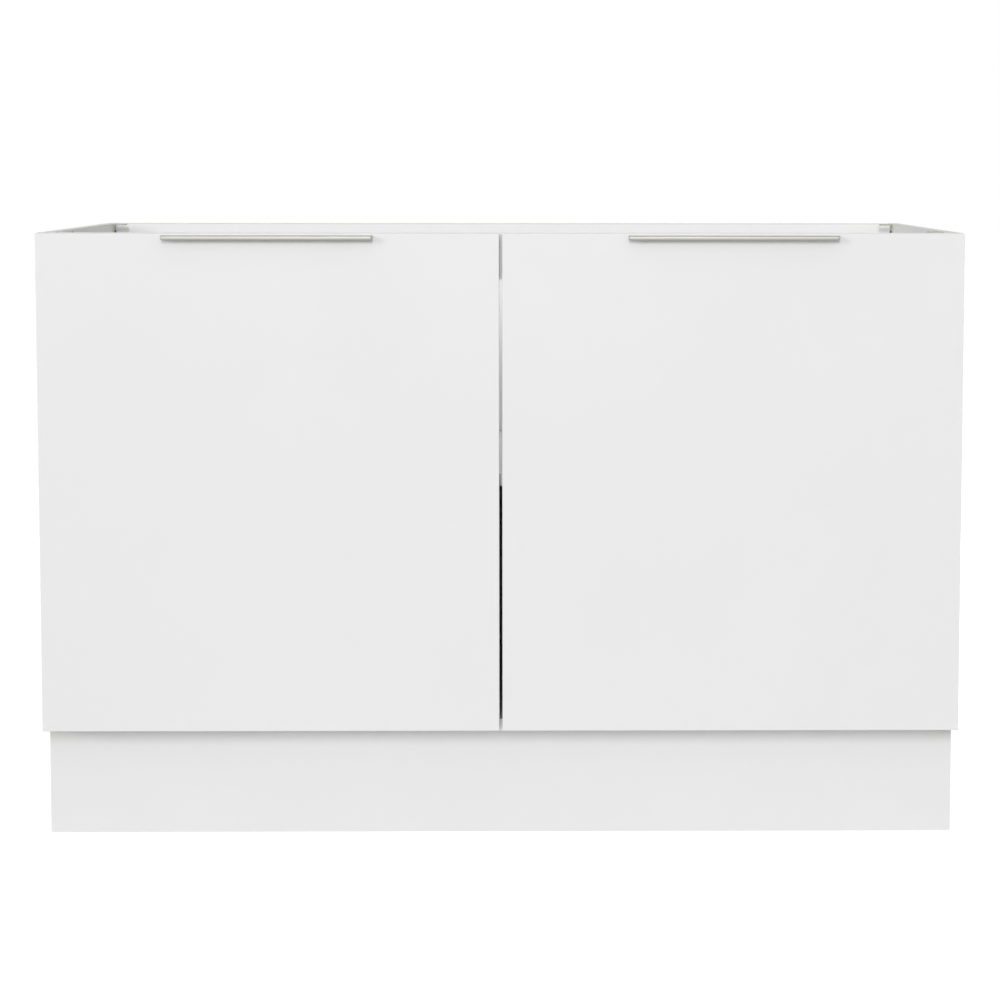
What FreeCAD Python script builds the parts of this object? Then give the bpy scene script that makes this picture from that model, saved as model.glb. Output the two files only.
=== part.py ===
import FreeCAD, Part
import Sketcher
import math
import os
import re

# Two-door kitchen base cabinet on levelling legs, open at the top for a worktop.
# Millimetres. X runs along the width, the front faces -Y, Z is up from the floor.

doc = FreeCAD.newDocument("base_cabinet")
sheet = doc.addObject("Spreadsheet::Sheet", "Sizes")

SIZES = {
    # carcass
    "width": 1200.0,
    "height": 800.0,
    "carcass_depth": 560.0,
    "toe_height": 146.0,
    "board": 16.0,
    "back_thickness": 3.0,
    "back_inset": 12.0,
    "groove_depth": 8.0,
    "groove_clear": 0.2,
    "rail_height": 60.0,
    "rear_rail_height": 75.0,
    "shelf_level": 337.0,
    "shelf_setback": 25.0,
    "shelf_side_clear": 1.0,
    "shelf_rear_clear": 4.0,
    "plinth_recess": 40.0,
    "plinth_thickness": 16.0,
    "plinth_top_clear": 1.0,
    # doors and handles
    "door_thickness": 16.0,
    "door_gap": 2.0,
    "door_reveal": 1.5,
    "centre_gap": 4.0,
    "door_top_drop": 0.5,
    "door_lift": 4.0,
    "door_edge_radius": 0.8,
    "handle_length": 271.0,
    "handle_projection": 14.0,
    "handle_lip": 5.5,
    "handle_drop": 2.2,
    "handle_lip_thickness": 3.0,
    "handle_root": 5.0,
    "handle_groove": 2.0,
    "handle_edge_radius": 0.8,
    "handle_screw_spacing": 192.0,
    "handle_screw_radius": 1.5,
    "handle_screw_grip": 4.0,
    "handle_head_radius": 3.0,
    "handle_head_height": 2.0,
    "bumper_radius": 4.0,
    "bumper_height": 1.5,
    "bumper_edge": 20.0,
    "bumper_seat": 8.0,
    # fasteners
    "screw_fit": 0.1,
    "dowel_radius": 4.0,
    "dowel_length": 30.0,
    "dowel_in_side": 11.0,
    "cam_radius": 7.5,
    "cam_height": 12.0,
    "cam_set": 26.0,
    "cam_bolt_radius": 3.0,
    "cam_bolt_in_side": 10.0,
    "joint_front": 60.0,
    "joint_rear": 90.0,
    "joint_pitch": 32.0,
    "rail_joint_drop": 16.0,
    "rail_joint_pitch": 26.0,
    "shelf_pin_radius": 2.5,
    "shelf_pin_out": 8.0,
    "shelf_pin_in": 9.0,
    "shelf_pin_front": 70.0,
    "shelf_pin_rear": 80.0,
    "pin_row_pitch": 32.0,
    "wall_hole_radius": 3.0,
    "wall_hole_spacing": 900.0,
    # worktop brackets
    "bracket_reach": 18.5,
    "bracket_drop": 22.0,
    "bracket_width": 20.0,
    "bracket_sheet": 2.0,
    "bracket_front": 67.0,
    "bracket_rear": 60.0,
    "bracket_hole_radius": 2.2,
    "bracket_hole_set": 11.1,
    "bracket_screw_drop": 13.2,
    "bracket_screw_radius": 2.0,
    "bracket_screw_length": 12.0,
    "screw_head_radius": 3.6,
    "screw_head_height": 1.8,
    # legs
    "leg_inset": 90.0,
    "leg_front": 100.0,
    "leg_rear": 90.0,
    "leg_flange": 60.0,
    "leg_flange_thickness": 4.0,
    "leg_radius": 16.0,
    "leg_end": 34.0,
    "leg_bore_radius": 8.5,
    "leg_bore_depth": 80.0,
    "leg_collar_radius": 22.0,
    "leg_collar_height": 14.0,
    "leg_screw_spacing": 44.0,
    "leg_screw_radius": 2.0,
    "leg_screw_length": 12.0,
    "foot_radius": 24.0,
    "foot_height": 6.0,
    "foot_cone_height": 8.0,
    "foot_neck_radius": 12.0,
    "foot_neck_top": 30.0,
    "foot_stem_clear": 0.3,
    "foot_stem_top": 94.0,
    "clip_width": 44.0,
    "clip_height": 24.0,
    "clip_level": 74.0,
    "clip_grip": 6.0,
    "clip_clear": 0.3,
    # hinges, in plan from the outer face of the side and from the carcass front
    "hinge_from_end": 100.0,
    "cup_inset": 22.5,
    "cup_radius": 17.4,
    "cup_depth": 11.8,
    "cup_wall": 0.8,
    "cup_bore_clear": 0.2,
    "cup_flange_length": 62.0,
    "cup_flange_width": 17.0,
    "cup_flange_thickness": 1.0,
    "cup_screw_spacing": 48.0,
    "cup_screw_offset": 6.0,
    "cup_screw_radius": 1.8,
    "cup_screw_length": 11.0,
    "pivot_radius": 1.25,
    "pivot_fit": 0.05,
    "pivot_head_radius": 2.0,
    "pivot_head_height": 0.7,
    "link_half_width": 2.0,
    "link_eye_radius": 2.6,
    "link_thickness": 4.0,
    "link_side_clear": 0.3,
    "tongue_half": 1.5,
    "arm_pivot_in": 34.0,
    "arm_pivot_back": 9.0,
    "nose_pivot_in": 36.0,
    "nose_pivot_front": 8.6,
    "cup_edge_pivot_in": 12.0,
    "cup_edge_pivot_front": 4.4,
    "cup_open_pivot_in": 19.38,
    "cup_open_pivot_front": 4.97,
    "knee_in": 19.0,
    "knee_front": 8.0,
    "open_eye_in": 18.75,
    "open_eye_front": 7.03,
    "open_eye_radius": 3.8,
    "open_eye_wall": 1.5,
    "arm_start": 18.0,
    "arm_length": 44.0,
    "arm_height": 9.0,
    "arm_half_width": 8.0,
    "plate_thickness": 3.0,
    "plate_start": 24.0,
    "plate_length": 26.0,
    "plate_half_height": 22.0,
    "plate_screw_spacing": 32.0,
    "plate_screw_set": 37.0,
    "plate_screw_radius": 2.5,
    "plate_screw_length": 11.0,
}

for row, (name, number) in enumerate(SIZES.items(), start=1):
    sheet.set("A%d" % row, name)
    sheet.set("B%d" % row, str(number))
    sheet.setAlias("B%d" % row, name)
doc.recompute()


def bind(text):
    """Turns size names in a formula into references to the sheet."""
    def replace(match):
        word = match.group(0)
        return "Sizes." + word if word in SIZES else word
    return re.sub(r"[a-z_][a-z_0-9]*", replace, text)


def val(text):
    """The number that a formula of sizes gives."""
    return float(sheet.evalExpression(bind(text)))


# Places that several pieces share
HANDLE_FRONT = "(-(carcass_depth + door_gap + door_thickness + handle_projection)/2)"
DOOR_FRONT = "(%s + handle_projection)" % HANDLE_FRONT
DOOR_BACK = "(%s + door_thickness)" % DOOR_FRONT
CARCASS_FRONT = "(%s + door_gap)" % DOOR_BACK
CARCASS_BACK = "(%s + carcass_depth)" % CARCASS_FRONT
BACK_FACE = "(%s - back_inset - back_thickness)" % CARCASS_BACK
OUTER = "(width/2)"
INNER = "(width/2 - board)"
CARCASS_HEIGHT = "(height - toe_height)"
DOOR_WIDTH = "((width - 2*door_reveal - centre_gap)/2)"
DOOR_BOTTOM = "(toe_height + door_lift)"
DOOR_TOP = "(height - door_top_drop)"
DOOR_CENTRE = "(width/2 - door_reveal - %s/2)" % DOOR_WIDTH
SHELF_TOP = "(toe_height + shelf_level)"
HANDLE_TOP = "(%s - handle_drop)" % DOOR_TOP
HINGE_LEVELS = {
    "upper": "(%s - hinge_from_end)" % DOOR_TOP,
    "lower": "(%s + hinge_from_end)" % DOOR_BOTTOM,
}

AXIS_X = FreeCAD.Rotation(FreeCAD.Vector(0, 1, 0), 90)
AXIS_Y = FreeCAD.Rotation(FreeCAD.Vector(1, 0, 0), -90)
AXIS_Z = FreeCAD.Rotation()
counter = {"n": 0}


def fresh(stem):
    """A name that no other object has."""
    counter["n"] += 1
    return "%s_%03d" % (stem, counter["n"])


def place(obj, x, y, z, rotation=AXIS_Z):
    """Puts an object at a point given by three formulas."""
    obj.Placement = FreeCAD.Placement(FreeCAD.Vector(val(x), val(y), val(z)), rotation)
    for axis, text in zip("xyz", (x, y, z)):
        obj.setExpression("Placement.Base." + axis, bind(text))
    return obj


def box(size_x, size_y, size_z, x, y, z):
    """A box from its lower front left corner."""
    obj = doc.addObject("Part::Box", fresh("Box"))
    for prop, text in zip(("Length", "Width", "Height"), (size_x, size_y, size_z)):
        setattr(obj, prop, val(text))
        obj.setExpression(prop, bind(text))
    return place(obj, x, y, z)


def cyl(radius, length, x, y, z, axis=AXIS_Z):
    """A cylinder from the centre of its first end along +X, +Y or +Z."""
    obj = doc.addObject("Part::Cylinder", fresh("Cylinder"))
    for prop, text in zip(("Radius", "Height"), (radius, length)):
        setattr(obj, prop, val(text))
        obj.setExpression(prop, bind(text))
    return place(obj, x, y, z, axis)


def cone(low_radius, high_radius, length, x, y, z):
    """An upright cone from the centre of its lower end."""
    obj = doc.addObject("Part::Cone", fresh("Cone"))
    for prop, text in zip(("Radius1", "Radius2", "Height"), (low_radius, high_radius, length)):
        setattr(obj, prop, val(text))
        obj.setExpression(prop, bind(text))
    return place(obj, x, y, z)


def fuse(pieces):
    """One solid from overlapping pieces."""
    obj = doc.addObject("Part::MultiFuse", fresh("Fuse"))
    obj.Shapes = pieces
    obj.Refine = True
    return obj


def group(pieces):
    """Separate solids kept together."""
    obj = doc.addObject("Part::Compound", fresh("Group"))
    obj.Links = pieces
    return obj


def cut(base, tools):
    """A solid with all tools taken out of it."""
    obj = doc.addObject("Part::Cut", fresh("Cut"))
    obj.Base = base
    obj.Tool = tools[0] if len(tools) == 1 else group(tools)
    return obj


def round_front(source, radius, front, shortest):
    """Rounds the edges that lie in a front plane and are longer than a given length."""
    doc.recompute()
    plane, least = val(front), val(shortest)
    obj = doc.addObject("Part::Fillet", fresh("Rounded"))
    obj.Base = source
    obj.Edges = [(index, val(radius), val(radius))
                 for index, edge in enumerate(source.Shape.Edges, start=1)
                 if edge.Length > least
                 and all(abs(vertex.Point.y - plane) < 0.01 for vertex in edge.Vertexes)]
    return obj


def mirror(source):
    """The same piece on the other side of the cabinet's middle plane."""
    obj = doc.addObject("Part::Mirroring", fresh("Mirror"))
    obj.Source = source
    obj.Base = FreeCAD.Vector(0, 0, 0)
    obj.Normal = FreeCAD.Vector(1, 0, 0)
    return obj


def both(pieces):
    """Pieces on the left with their mirror images on the right."""
    left = group(pieces)
    return [left, mirror(left)]


def board(size_x, size_y, size_z, x, y, z):
    """A flat board padded up from a constrained rectangle."""
    body = doc.addObject("PartDesign::Body", fresh("Board"))
    plane = [part for part in body.Origin.OriginFeatures if part.Role == "XY_Plane"][0]
    sketch = body.newObject("Sketcher::SketchObject", fresh("Outline"))
    sketch.AttachmentSupport = (plane, [""])
    sketch.MapMode = "FlatFace"
    length, depth = val(size_x), val(size_y)
    corners = [FreeCAD.Vector(*point) for point in
               ((0, 0, 0), (length, 0, 0), (length, depth, 0), (0, depth, 0))]
    for index in range(4):
        sketch.addGeometry(Part.LineSegment(corners[index], corners[(index + 1) % 4]), False)
    for index in range(4):
        sketch.addConstraint(Sketcher.Constraint("Coincident", index, 2, (index + 1) % 4, 1))
    for index, kind in enumerate(("Horizontal", "Vertical", "Horizontal", "Vertical")):
        sketch.addConstraint(Sketcher.Constraint(kind, index))
    sketch.addConstraint(Sketcher.Constraint("Coincident", 0, 1, -1, 1))
    across = sketch.addConstraint(Sketcher.Constraint("DistanceX", 0, 1, 0, 2, length))
    along = sketch.addConstraint(Sketcher.Constraint("DistanceY", 1, 1, 1, 2, depth))
    sketch.setExpression("Constraints[%d]" % across, bind(size_x))
    sketch.setExpression("Constraints[%d]" % along, bind(size_y))
    pad = body.newObject("PartDesign::Pad", fresh("Pad"))
    pad.Profile = sketch
    pad.Length = val(size_z)
    pad.setExpression("Length", bind(size_z))
    sketch.Visibility = False
    return place(body, x, y, z)


def bar(start, end, half, low, thick):
    """A straight bar in plan between two points, low in Z and thick upwards."""
    first = [val(text) for text in start]
    last = [val(text) for text in end]
    run = math.hypot(last[0] - first[0], last[1] - first[1])
    turn = math.degrees(math.atan2(last[1] - first[1], last[0] - first[0]))
    rotation = FreeCAD.Rotation(FreeCAD.Vector(0, 0, 1), turn)
    side = rotation.multVec(FreeCAD.Vector(0, -val(half), 0))
    obj = doc.addObject("Part::Box", fresh("Bar"))
    obj.Length = run
    obj.Width = 2 * val(half)
    obj.setExpression("Width", bind("2*(%s)" % half))
    obj.Height = val(thick)
    obj.setExpression("Height", bind(thick))
    corner = FreeCAD.Vector(first[0], first[1], val(low)) + side
    obj.Placement = FreeCAD.Placement(corner, rotation)
    return obj


nodes = []


def node(label, obj):
    """Names a finished piece, or a group of identical ones, for export."""
    obj.Label = label
    nodes.append(obj)
    return obj


# Fasteners between the sides and the boards that lie between them
floor_joints = {"front": "(%s + joint_front)" % CARCASS_FRONT,
                "rear": "(%s - joint_rear)" % CARCASS_BACK}
dowels, bolts, cams = [], [], []
side_holes, floor_cuts, front_rail_cuts, rear_rail_cuts = [], [], [], []


def joint_pair(bolt_y, bolt_z, dowel_y, dowel_z, cam_base, cam_axis, cuts):
    """A cam, its bolt and a dowel at the left end of a board."""
    bolt_start = "(-%s - cam_bolt_in_side)" % INNER
    bolt_length = "(cam_bolt_in_side + cam_set)"
    dowel_start = "(-%s - dowel_in_side)" % INNER
    bolts.append(cyl("cam_bolt_radius", bolt_length, bolt_start, bolt_y, bolt_z, AXIS_X))
    dowels.append(cyl("dowel_radius", "dowel_length", dowel_start, dowel_y, dowel_z, AXIS_X))
    bolt_hole = cyl("cam_bolt_radius + screw_fit", bolt_length + " + screw_fit",
                    bolt_start, bolt_y, bolt_z, AXIS_X)
    dowel_hole = cyl("dowel_radius + screw_fit", "dowel_length + 2*screw_fit",
                     dowel_start + " - screw_fit", dowel_y, dowel_z, AXIS_X)
    cam = cyl("cam_radius", "cam_height", *cam_base, cam_axis)
    cam_pocket = cyl("cam_radius + screw_fit", "cam_height + screw_fit", *cam_base, cam_axis)
    cams.append(cut(cam, [bolt_hole]))
    side_holes.extend([bolt_hole, dowel_hole])
    cuts.extend([bolt_hole, dowel_hole, cam_pocket])


CAM_X = "(-%s + cam_set)" % INNER
for place_y, step in ((floor_joints["front"], "joint_pitch"), (floor_joints["rear"], "-joint_pitch")):
    level = "(toe_height + board/2)"
    joint_pair(place_y, level, "(%s + (%s))" % (place_y, step), level,
               (CAM_X, place_y, "toe_height"), AXIS_Z, floor_cuts)

RAIL_DOWEL_Z = "(height - rail_joint_drop)"
RAIL_BOLT_Z = "(height - rail_joint_drop - rail_joint_pitch)"
FRONT_RAIL_MIDDLE = "(%s + board/2)" % CARCASS_FRONT
REAR_RAIL_FRONT = "(%s - board)" % BACK_FACE
REAR_RAIL_MIDDLE = "(%s - board/2)" % BACK_FACE
joint_pair(FRONT_RAIL_MIDDLE, RAIL_BOLT_Z, FRONT_RAIL_MIDDLE, RAIL_DOWEL_Z,
           (CAM_X, "(%s + board - cam_height)" % CARCASS_FRONT, RAIL_BOLT_Z), AXIS_Y, front_rail_cuts)
joint_pair(REAR_RAIL_MIDDLE, RAIL_BOLT_Z, REAR_RAIL_MIDDLE, RAIL_DOWEL_Z,
           (CAM_X, REAR_RAIL_FRONT, RAIL_BOLT_Z), AXIS_Y, rear_rail_cuts)

# Shelf pins and the rows of holes that they can stand in
pin_rows = ("(%s + shelf_pin_front)" % CARCASS_FRONT, "(%s - shelf_pin_rear)" % BACK_FACE)
PIN_LEVEL = "(%s - board - shelf_pin_radius)" % SHELF_TOP
PIN_START = "(-%s - shelf_pin_in)" % INNER
shelf_pins = []
for row_y in pin_rows:
    shelf_pins.append(cyl("shelf_pin_radius", "shelf_pin_in + shelf_pin_out",
                          PIN_START, row_y, PIN_LEVEL, AXIS_X))
    for step in range(-2, 3):
        side_holes.append(cyl("shelf_pin_radius + screw_fit", "shelf_pin_in + screw_fit + 1",
                              PIN_START + " - screw_fit", row_y,
                              "(%s + (%d)*pin_row_pitch)" % (PIN_LEVEL, step), AXIS_X))

# Brackets that hold the worktop down
bracket_spots = ("(%s + bracket_front)" % CARCASS_FRONT, "(%s - bracket_rear)" % CARCASS_BACK)
brackets, bracket_screws = [], []
BRACKET_SCREW_Z = "(height - bracket_screw_drop)"
for spot in bracket_spots:
    start_y = "(%s - bracket_width/2)" % spot
    upright = box("bracket_sheet", "bracket_width", "bracket_drop",
                  "-" + INNER, start_y, "height - bracket_drop")
    flat = box("bracket_reach", "bracket_width", "bracket_sheet",
               "-" + INNER, start_y, "height - bracket_sheet")
    top_hole = cyl("bracket_hole_radius", "4*bracket_sheet",
                   "-%s + bracket_hole_set" % INNER, spot, "height - 3*bracket_sheet")
    screw_hole = cyl("bracket_screw_radius + screw_fit", "bracket_screw_length + screw_fit + bracket_sheet",
                     "-%s - bracket_screw_length - screw_fit" % INNER, spot, BRACKET_SCREW_Z, AXIS_X)
    brackets.append(cut(fuse([upright, flat]), [top_hole, screw_hole]))
    side_holes.append(screw_hole)
    bracket_screws.append(fuse([
        cyl("bracket_screw_radius", "bracket_screw_length + bracket_sheet + screw_head_height",
            "-%s - bracket_screw_length" % INNER, spot, BRACKET_SCREW_Z, AXIS_X),
        cyl("screw_head_radius", "screw_head_height",
            "-%s + bracket_sheet" % INNER, spot, BRACKET_SCREW_Z, AXIS_X)]))

# Hinge mounting plates, built about the hinge's own middle
PLATE_SCREW_IN = "(board + plate_thickness)"
plate_holes, plate_screws, side_plate_holes = [], [], []
for sign in ("", "-"):
    screw_z = "(%splate_screw_spacing/2)" % sign
    plate_holes.append(cyl("plate_screw_radius + screw_fit", "plate_thickness + 2*screw_fit",
                           "board - screw_fit", "plate_screw_set", screw_z, AXIS_X))
    side_plate_holes.append(cyl("plate_screw_radius + screw_fit", "plate_screw_length + screw_fit + 1",
                                "board - plate_screw_length - screw_fit", "plate_screw_set",
                                screw_z, AXIS_X))
    plate_screws.append(fuse([
        cyl("plate_screw_radius", "plate_screw_length + plate_thickness + screw_head_height",
            "board - plate_screw_length", "plate_screw_set", screw_z, AXIS_X),
        cyl("screw_head_radius", "screw_head_height",
            PLATE_SCREW_IN, "plate_screw_set", screw_z, AXIS_X)]))
hinge_plate = cut(box("plate_thickness", "plate_length", "2*plate_half_height",
                      "board", "plate_start", "-plate_half_height"), plate_holes)

# Pivots of the hinge in plan
ARM_PIVOT = ("arm_pivot_in", "arm_pivot_back")
NOSE_PIVOT = ("nose_pivot_in", "-nose_pivot_front")
EDGE_PIVOT = ("cup_edge_pivot_in", "-cup_edge_pivot_front")
OPEN_PIVOT = ("cup_open_pivot_in", "-cup_open_pivot_front")
KNEE = ("knee_in", "-knee_front")
OPEN_EYE = ("open_eye_in", "-open_eye_front")
UPPER_LAYER = "(tongue_half + link_side_clear)"
LOWER_LAYER = "(-tongue_half - link_side_clear - link_thickness)"


def pivot_hole(point, low, length):
    """A running hole for a pivot pin."""
    return cyl("pivot_radius + pivot_fit", length, point[0], point[1], low)


# Arm: a base that sits on the plate and a tongue that reaches into the cup
ARM_ROOT = ("(board + plate_thickness + arm_height/2)", "(arm_start + link_eye_radius)")
arm_base = box("arm_height", "arm_length", "2*arm_half_width",
               "board + plate_thickness", "arm_start", "-arm_half_width")
tongue = [bar(ARM_ROOT, ARM_PIVOT, "link_eye_radius", "-tongue_half", "2*tongue_half"),
          bar(ARM_PIVOT, NOSE_PIVOT, "link_eye_radius", "-tongue_half", "2*tongue_half")]
tongue += [cyl("link_eye_radius", "2*tongue_half", point[0], point[1], "-tongue_half")
           for point in (ARM_PIVOT, NOSE_PIVOT)]
TONGUE_HOLE = "2*tongue_half + 2"
hinge_arm = cut(fuse([arm_base] + tongue),
                [pivot_hole(ARM_PIVOT, "-tongue_half - 1", TONGUE_HOLE),
                 pivot_hole(NOSE_PIVOT, "-tongue_half - 1", TONGUE_HOLE)])

# Long link on the upper side of the tongue, bent to pass the rim of the cup
long_link = fuse([bar(ARM_PIVOT, KNEE, "link_half_width", UPPER_LAYER, "link_thickness"),
                  bar(KNEE, EDGE_PIVOT, "link_half_width", UPPER_LAYER, "link_thickness"),
                  cyl("link_half_width", "link_thickness", KNEE[0], KNEE[1], UPPER_LAYER)] +
                 [cyl("link_eye_radius", "link_thickness", point[0], point[1], UPPER_LAYER)
                  for point in (ARM_PIVOT, EDGE_PIVOT)])
long_link = cut(long_link, [pivot_hole(point, "%s - 1" % UPPER_LAYER, "link_thickness + 2")
                            for point in (ARM_PIVOT, EDGE_PIVOT)])

# Short link on the lower side, with an oversize eye round the cup's second pin
short_link = fuse([bar(NOSE_PIVOT, OPEN_EYE, "link_half_width", LOWER_LAYER, "link_thickness"),
                   cyl("link_eye_radius", "link_thickness", NOSE_PIVOT[0], NOSE_PIVOT[1], LOWER_LAYER),
                   cyl("open_eye_radius + open_eye_wall", "link_thickness",
                       OPEN_EYE[0], OPEN_EYE[1], LOWER_LAYER)])
short_link = cut(short_link, [pivot_hole(NOSE_PIVOT, "%s - 1" % LOWER_LAYER, "link_thickness + 2"),
                              cyl("open_eye_radius", "link_thickness + 2",
                                  OPEN_EYE[0], OPEN_EYE[1], "%s - 1" % LOWER_LAYER)])

# Cup: a pressed bowl with two ears, in the back of the door
CUP_IN = "(door_reveal + cup_inset)"
CUP_MOUTH = "(-door_gap)"
CUP_FLOOR = "(-door_gap - cup_depth)"
EAR_IN = "(%s + cup_screw_offset)" % CUP_IN
inner_bowl = cyl("cup_radius - cup_wall", "cup_depth - cup_wall + cup_flange_thickness + 1",
                 CUP_IN, "%s + cup_wall" % CUP_FLOOR, "0", AXIS_Y)
ear = box("cup_flange_width", "cup_flange_thickness", "cup_flange_length",
          "%s - cup_flange_width/2" % EAR_IN, CUP_MOUTH, "-cup_flange_length/2")
bowl = cyl("cup_radius", "cup_depth", CUP_IN, CUP_FLOOR, "0", AXIS_Y)
cup_screw_holes, cup_screws, cup_pilot_holes = [], [], []
for sign in ("", "-"):
    screw_z = "(%scup_screw_spacing/2)" % sign
    cup_screw_holes.append(cyl("cup_screw_radius + screw_fit", "cup_flange_thickness + 1",
                               EAR_IN, "%s - 0.5" % CUP_MOUTH, screw_z, AXIS_Y))
    cup_pilot_holes.append(cyl("cup_screw_radius + screw_fit", "cup_screw_length + screw_fit + 1",
                               EAR_IN, "%s - cup_screw_length - screw_fit" % CUP_MOUTH, screw_z, AXIS_Y))
    cup_screws.append(fuse([
        cyl("cup_screw_radius", "cup_screw_length + cup_flange_thickness + screw_head_height",
            EAR_IN, "%s - cup_screw_length" % CUP_MOUTH, screw_z, AXIS_Y),
        cyl("screw_head_radius", "screw_head_height",
            EAR_IN, "%s + cup_flange_thickness" % CUP_MOUTH, screw_z, AXIS_Y)]))
hinge_cup = cut(fuse([bowl, ear]),
                [inner_bowl, pivot_hole(EDGE_PIVOT, "0", "cup_radius"),
                 pivot_hole(OPEN_PIVOT, "-cup_radius", "cup_radius")] + cup_screw_holes)
cup_bore = cyl("cup_radius + cup_bore_clear", "cup_depth + cup_bore_clear + 1",
               CUP_IN, "%s - cup_bore_clear" % CUP_FLOOR, "0", AXIS_Y)


def wall_reach(point):
    """How far from the hinge's middle a pin can reach inside the bowl's outside."""
    return "sqrt((cup_radius - cup_wall/4)^2 - (abs(%s - (%s)) + pivot_radius)^2)" % (point[0], CUP_IN)


cup_pins = [cyl("pivot_radius", "%s - %s" % (wall_reach(EDGE_PIVOT), UPPER_LAYER),
                EDGE_PIVOT[0], EDGE_PIVOT[1], UPPER_LAYER),
            cyl("pivot_radius", "%s - %s" % (wall_reach(OPEN_PIVOT), UPPER_LAYER),
                OPEN_PIVOT[0], OPEN_PIVOT[1], "-" + wall_reach(OPEN_PIVOT))]
PIN_SPAN = "(2*tongue_half + 2*link_side_clear + link_thickness)"
PIN_HEAD_LOW = "(tongue_half + 2*link_side_clear + link_thickness)"
arm_pins = [fuse([cyl("pivot_radius", "%s + pivot_head_height" % PIN_SPAN,
                      ARM_PIVOT[0], ARM_PIVOT[1], "-tongue_half"),
                  cyl("pivot_head_radius", "pivot_head_height",
                      ARM_PIVOT[0], ARM_PIVOT[1], PIN_HEAD_LOW)]),
            fuse([cyl("pivot_radius", "%s + pivot_head_height" % PIN_SPAN,
                      NOSE_PIVOT[0], NOSE_PIVOT[1], "-%s - pivot_head_height" % PIN_HEAD_LOW),
                  cyl("pivot_head_radius", "pivot_head_height",
                      NOSE_PIVOT[0], NOSE_PIVOT[1], "-%s - pivot_head_height" % PIN_HEAD_LOW)])]


def at_hinge(source, level):
    """A hinge piece set at the left edge of the cabinet at a hinge level."""
    return place(group([source]), "-" + OUTER, CARCASS_FRONT, level)


hinge_sources = {"cup": hinge_cup, "arm": hinge_arm, "plate": hinge_plate,
                 "long_link": long_link, "short_link": short_link}
door_cuts, all_plate_screws, all_arm_pins, all_cup_pins, all_cup_screws = [], [], [], [], []
for level_name, level in HINGE_LEVELS.items():
    for kind, source in hinge_sources.items():
        left_piece = at_hinge(source, level)
        node("left_%s_hinge_%s" % (level_name, kind), left_piece)
        node("right_%s_hinge_%s" % (level_name, kind), mirror(left_piece))
    side_holes.extend(at_hinge(hole, level) for hole in side_plate_holes)
    door_cuts.extend(at_hinge(hole, level) for hole in cup_pilot_holes + [cup_bore])
    all_plate_screws.extend(at_hinge(screw, level) for screw in plate_screws)
    all_arm_pins.extend(at_hinge(pin, level) for pin in arm_pins)
    all_cup_pins.extend(at_hinge(pin, level) for pin in cup_pins)
    all_cup_screws.extend(at_hinge(screw, level) for screw in cup_screws)

# Carcass boards
side_groove = box("groove_depth + 1", "back_thickness + 2*groove_clear", CARCASS_HEIGHT + " + 2",
                  "-%s - groove_depth" % INNER, "%s - groove_clear" % BACK_FACE, "toe_height - 1")
left_side = cut(board("board", "carcass_depth", CARCASS_HEIGHT, "-" + OUTER, CARCASS_FRONT, "toe_height"),
                side_holes + [side_groove])
node("left_side_panel", left_side)
node("right_side_panel", mirror(left_side))

FLOOR_DEPTH = "(carcass_depth - back_inset - back_thickness)"
leg_spots = [(x, y) for y in ("(%s + leg_front)" % CARCASS_FRONT, "(%s - leg_rear)" % CARCASS_BACK)
             for x in ("(-%s + leg_inset)" % OUTER, "0", "(%s - leg_inset)" % OUTER)]
leg_screw_spots = [("(%s + (%s))" % (x, dx), "(%s + (%s))" % (y, dy)) for x, y in leg_spots
                   for dx in ("leg_screw_spacing/2", "-leg_screw_spacing/2")
                   for dy in ("leg_screw_spacing/2", "-leg_screw_spacing/2")]
leg_pilot_holes = [cyl("leg_screw_radius + screw_fit", "leg_screw_length + screw_fit + 1",
                       x, y, "toe_height - 1") for x, y in leg_screw_spots]
node("bottom_panel", cut(board("2*" + INNER, FLOOR_DEPTH, "board", "-" + INNER, CARCASS_FRONT, "toe_height"),
                         both(floor_cuts) + leg_pilot_holes))
node("front_rail", cut(board("2*" + INNER, "board", "rail_height",
                             "-" + INNER, CARCASS_FRONT, "height - rail_height"), both(front_rail_cuts)))
wall_holes = [cyl("wall_hole_radius", "board + 2", "(%swall_hole_spacing/2)" % sign,
                  "%s - 1" % REAR_RAIL_FRONT, "height - rear_rail_height/2", AXIS_Y) for sign in ("", "-")]
back_holes = [cyl("wall_hole_radius", "back_thickness + 2", "(%swall_hole_spacing/2)" % sign,
                  "%s - 1" % BACK_FACE, "height - rear_rail_height/2", AXIS_Y) for sign in ("", "-")]
node("rear_rail", cut(board("2*" + INNER, "board", "rear_rail_height",
                            "-" + INNER, REAR_RAIL_FRONT, "height - rear_rail_height"),
                      both(rear_rail_cuts) + wall_holes))
back_blank = board("2*%s + 2*groove_depth - 2*groove_clear" % INNER, "back_thickness", CARCASS_HEIGHT,
                   "-%s - groove_depth + groove_clear" % INNER, BACK_FACE, "toe_height")
node("back_panel", cut(back_blank, back_holes))
node("shelf", board("2*%s - 2*shelf_side_clear" % INNER,
                    "%s - shelf_setback - shelf_rear_clear" % FLOOR_DEPTH, "board",
                    "-%s + shelf_side_clear" % INNER, "%s + shelf_setback" % CARCASS_FRONT,
                    "%s - board" % SHELF_TOP))
PLINTH_BACK = "(%s + plinth_recess + plinth_thickness)" % CARCASS_FRONT
node("plinth_board", board("width", "plinth_thickness", "toe_height - plinth_top_clear",
                           "-" + OUTER, "%s + plinth_recess" % CARCASS_FRONT, "0"))

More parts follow.
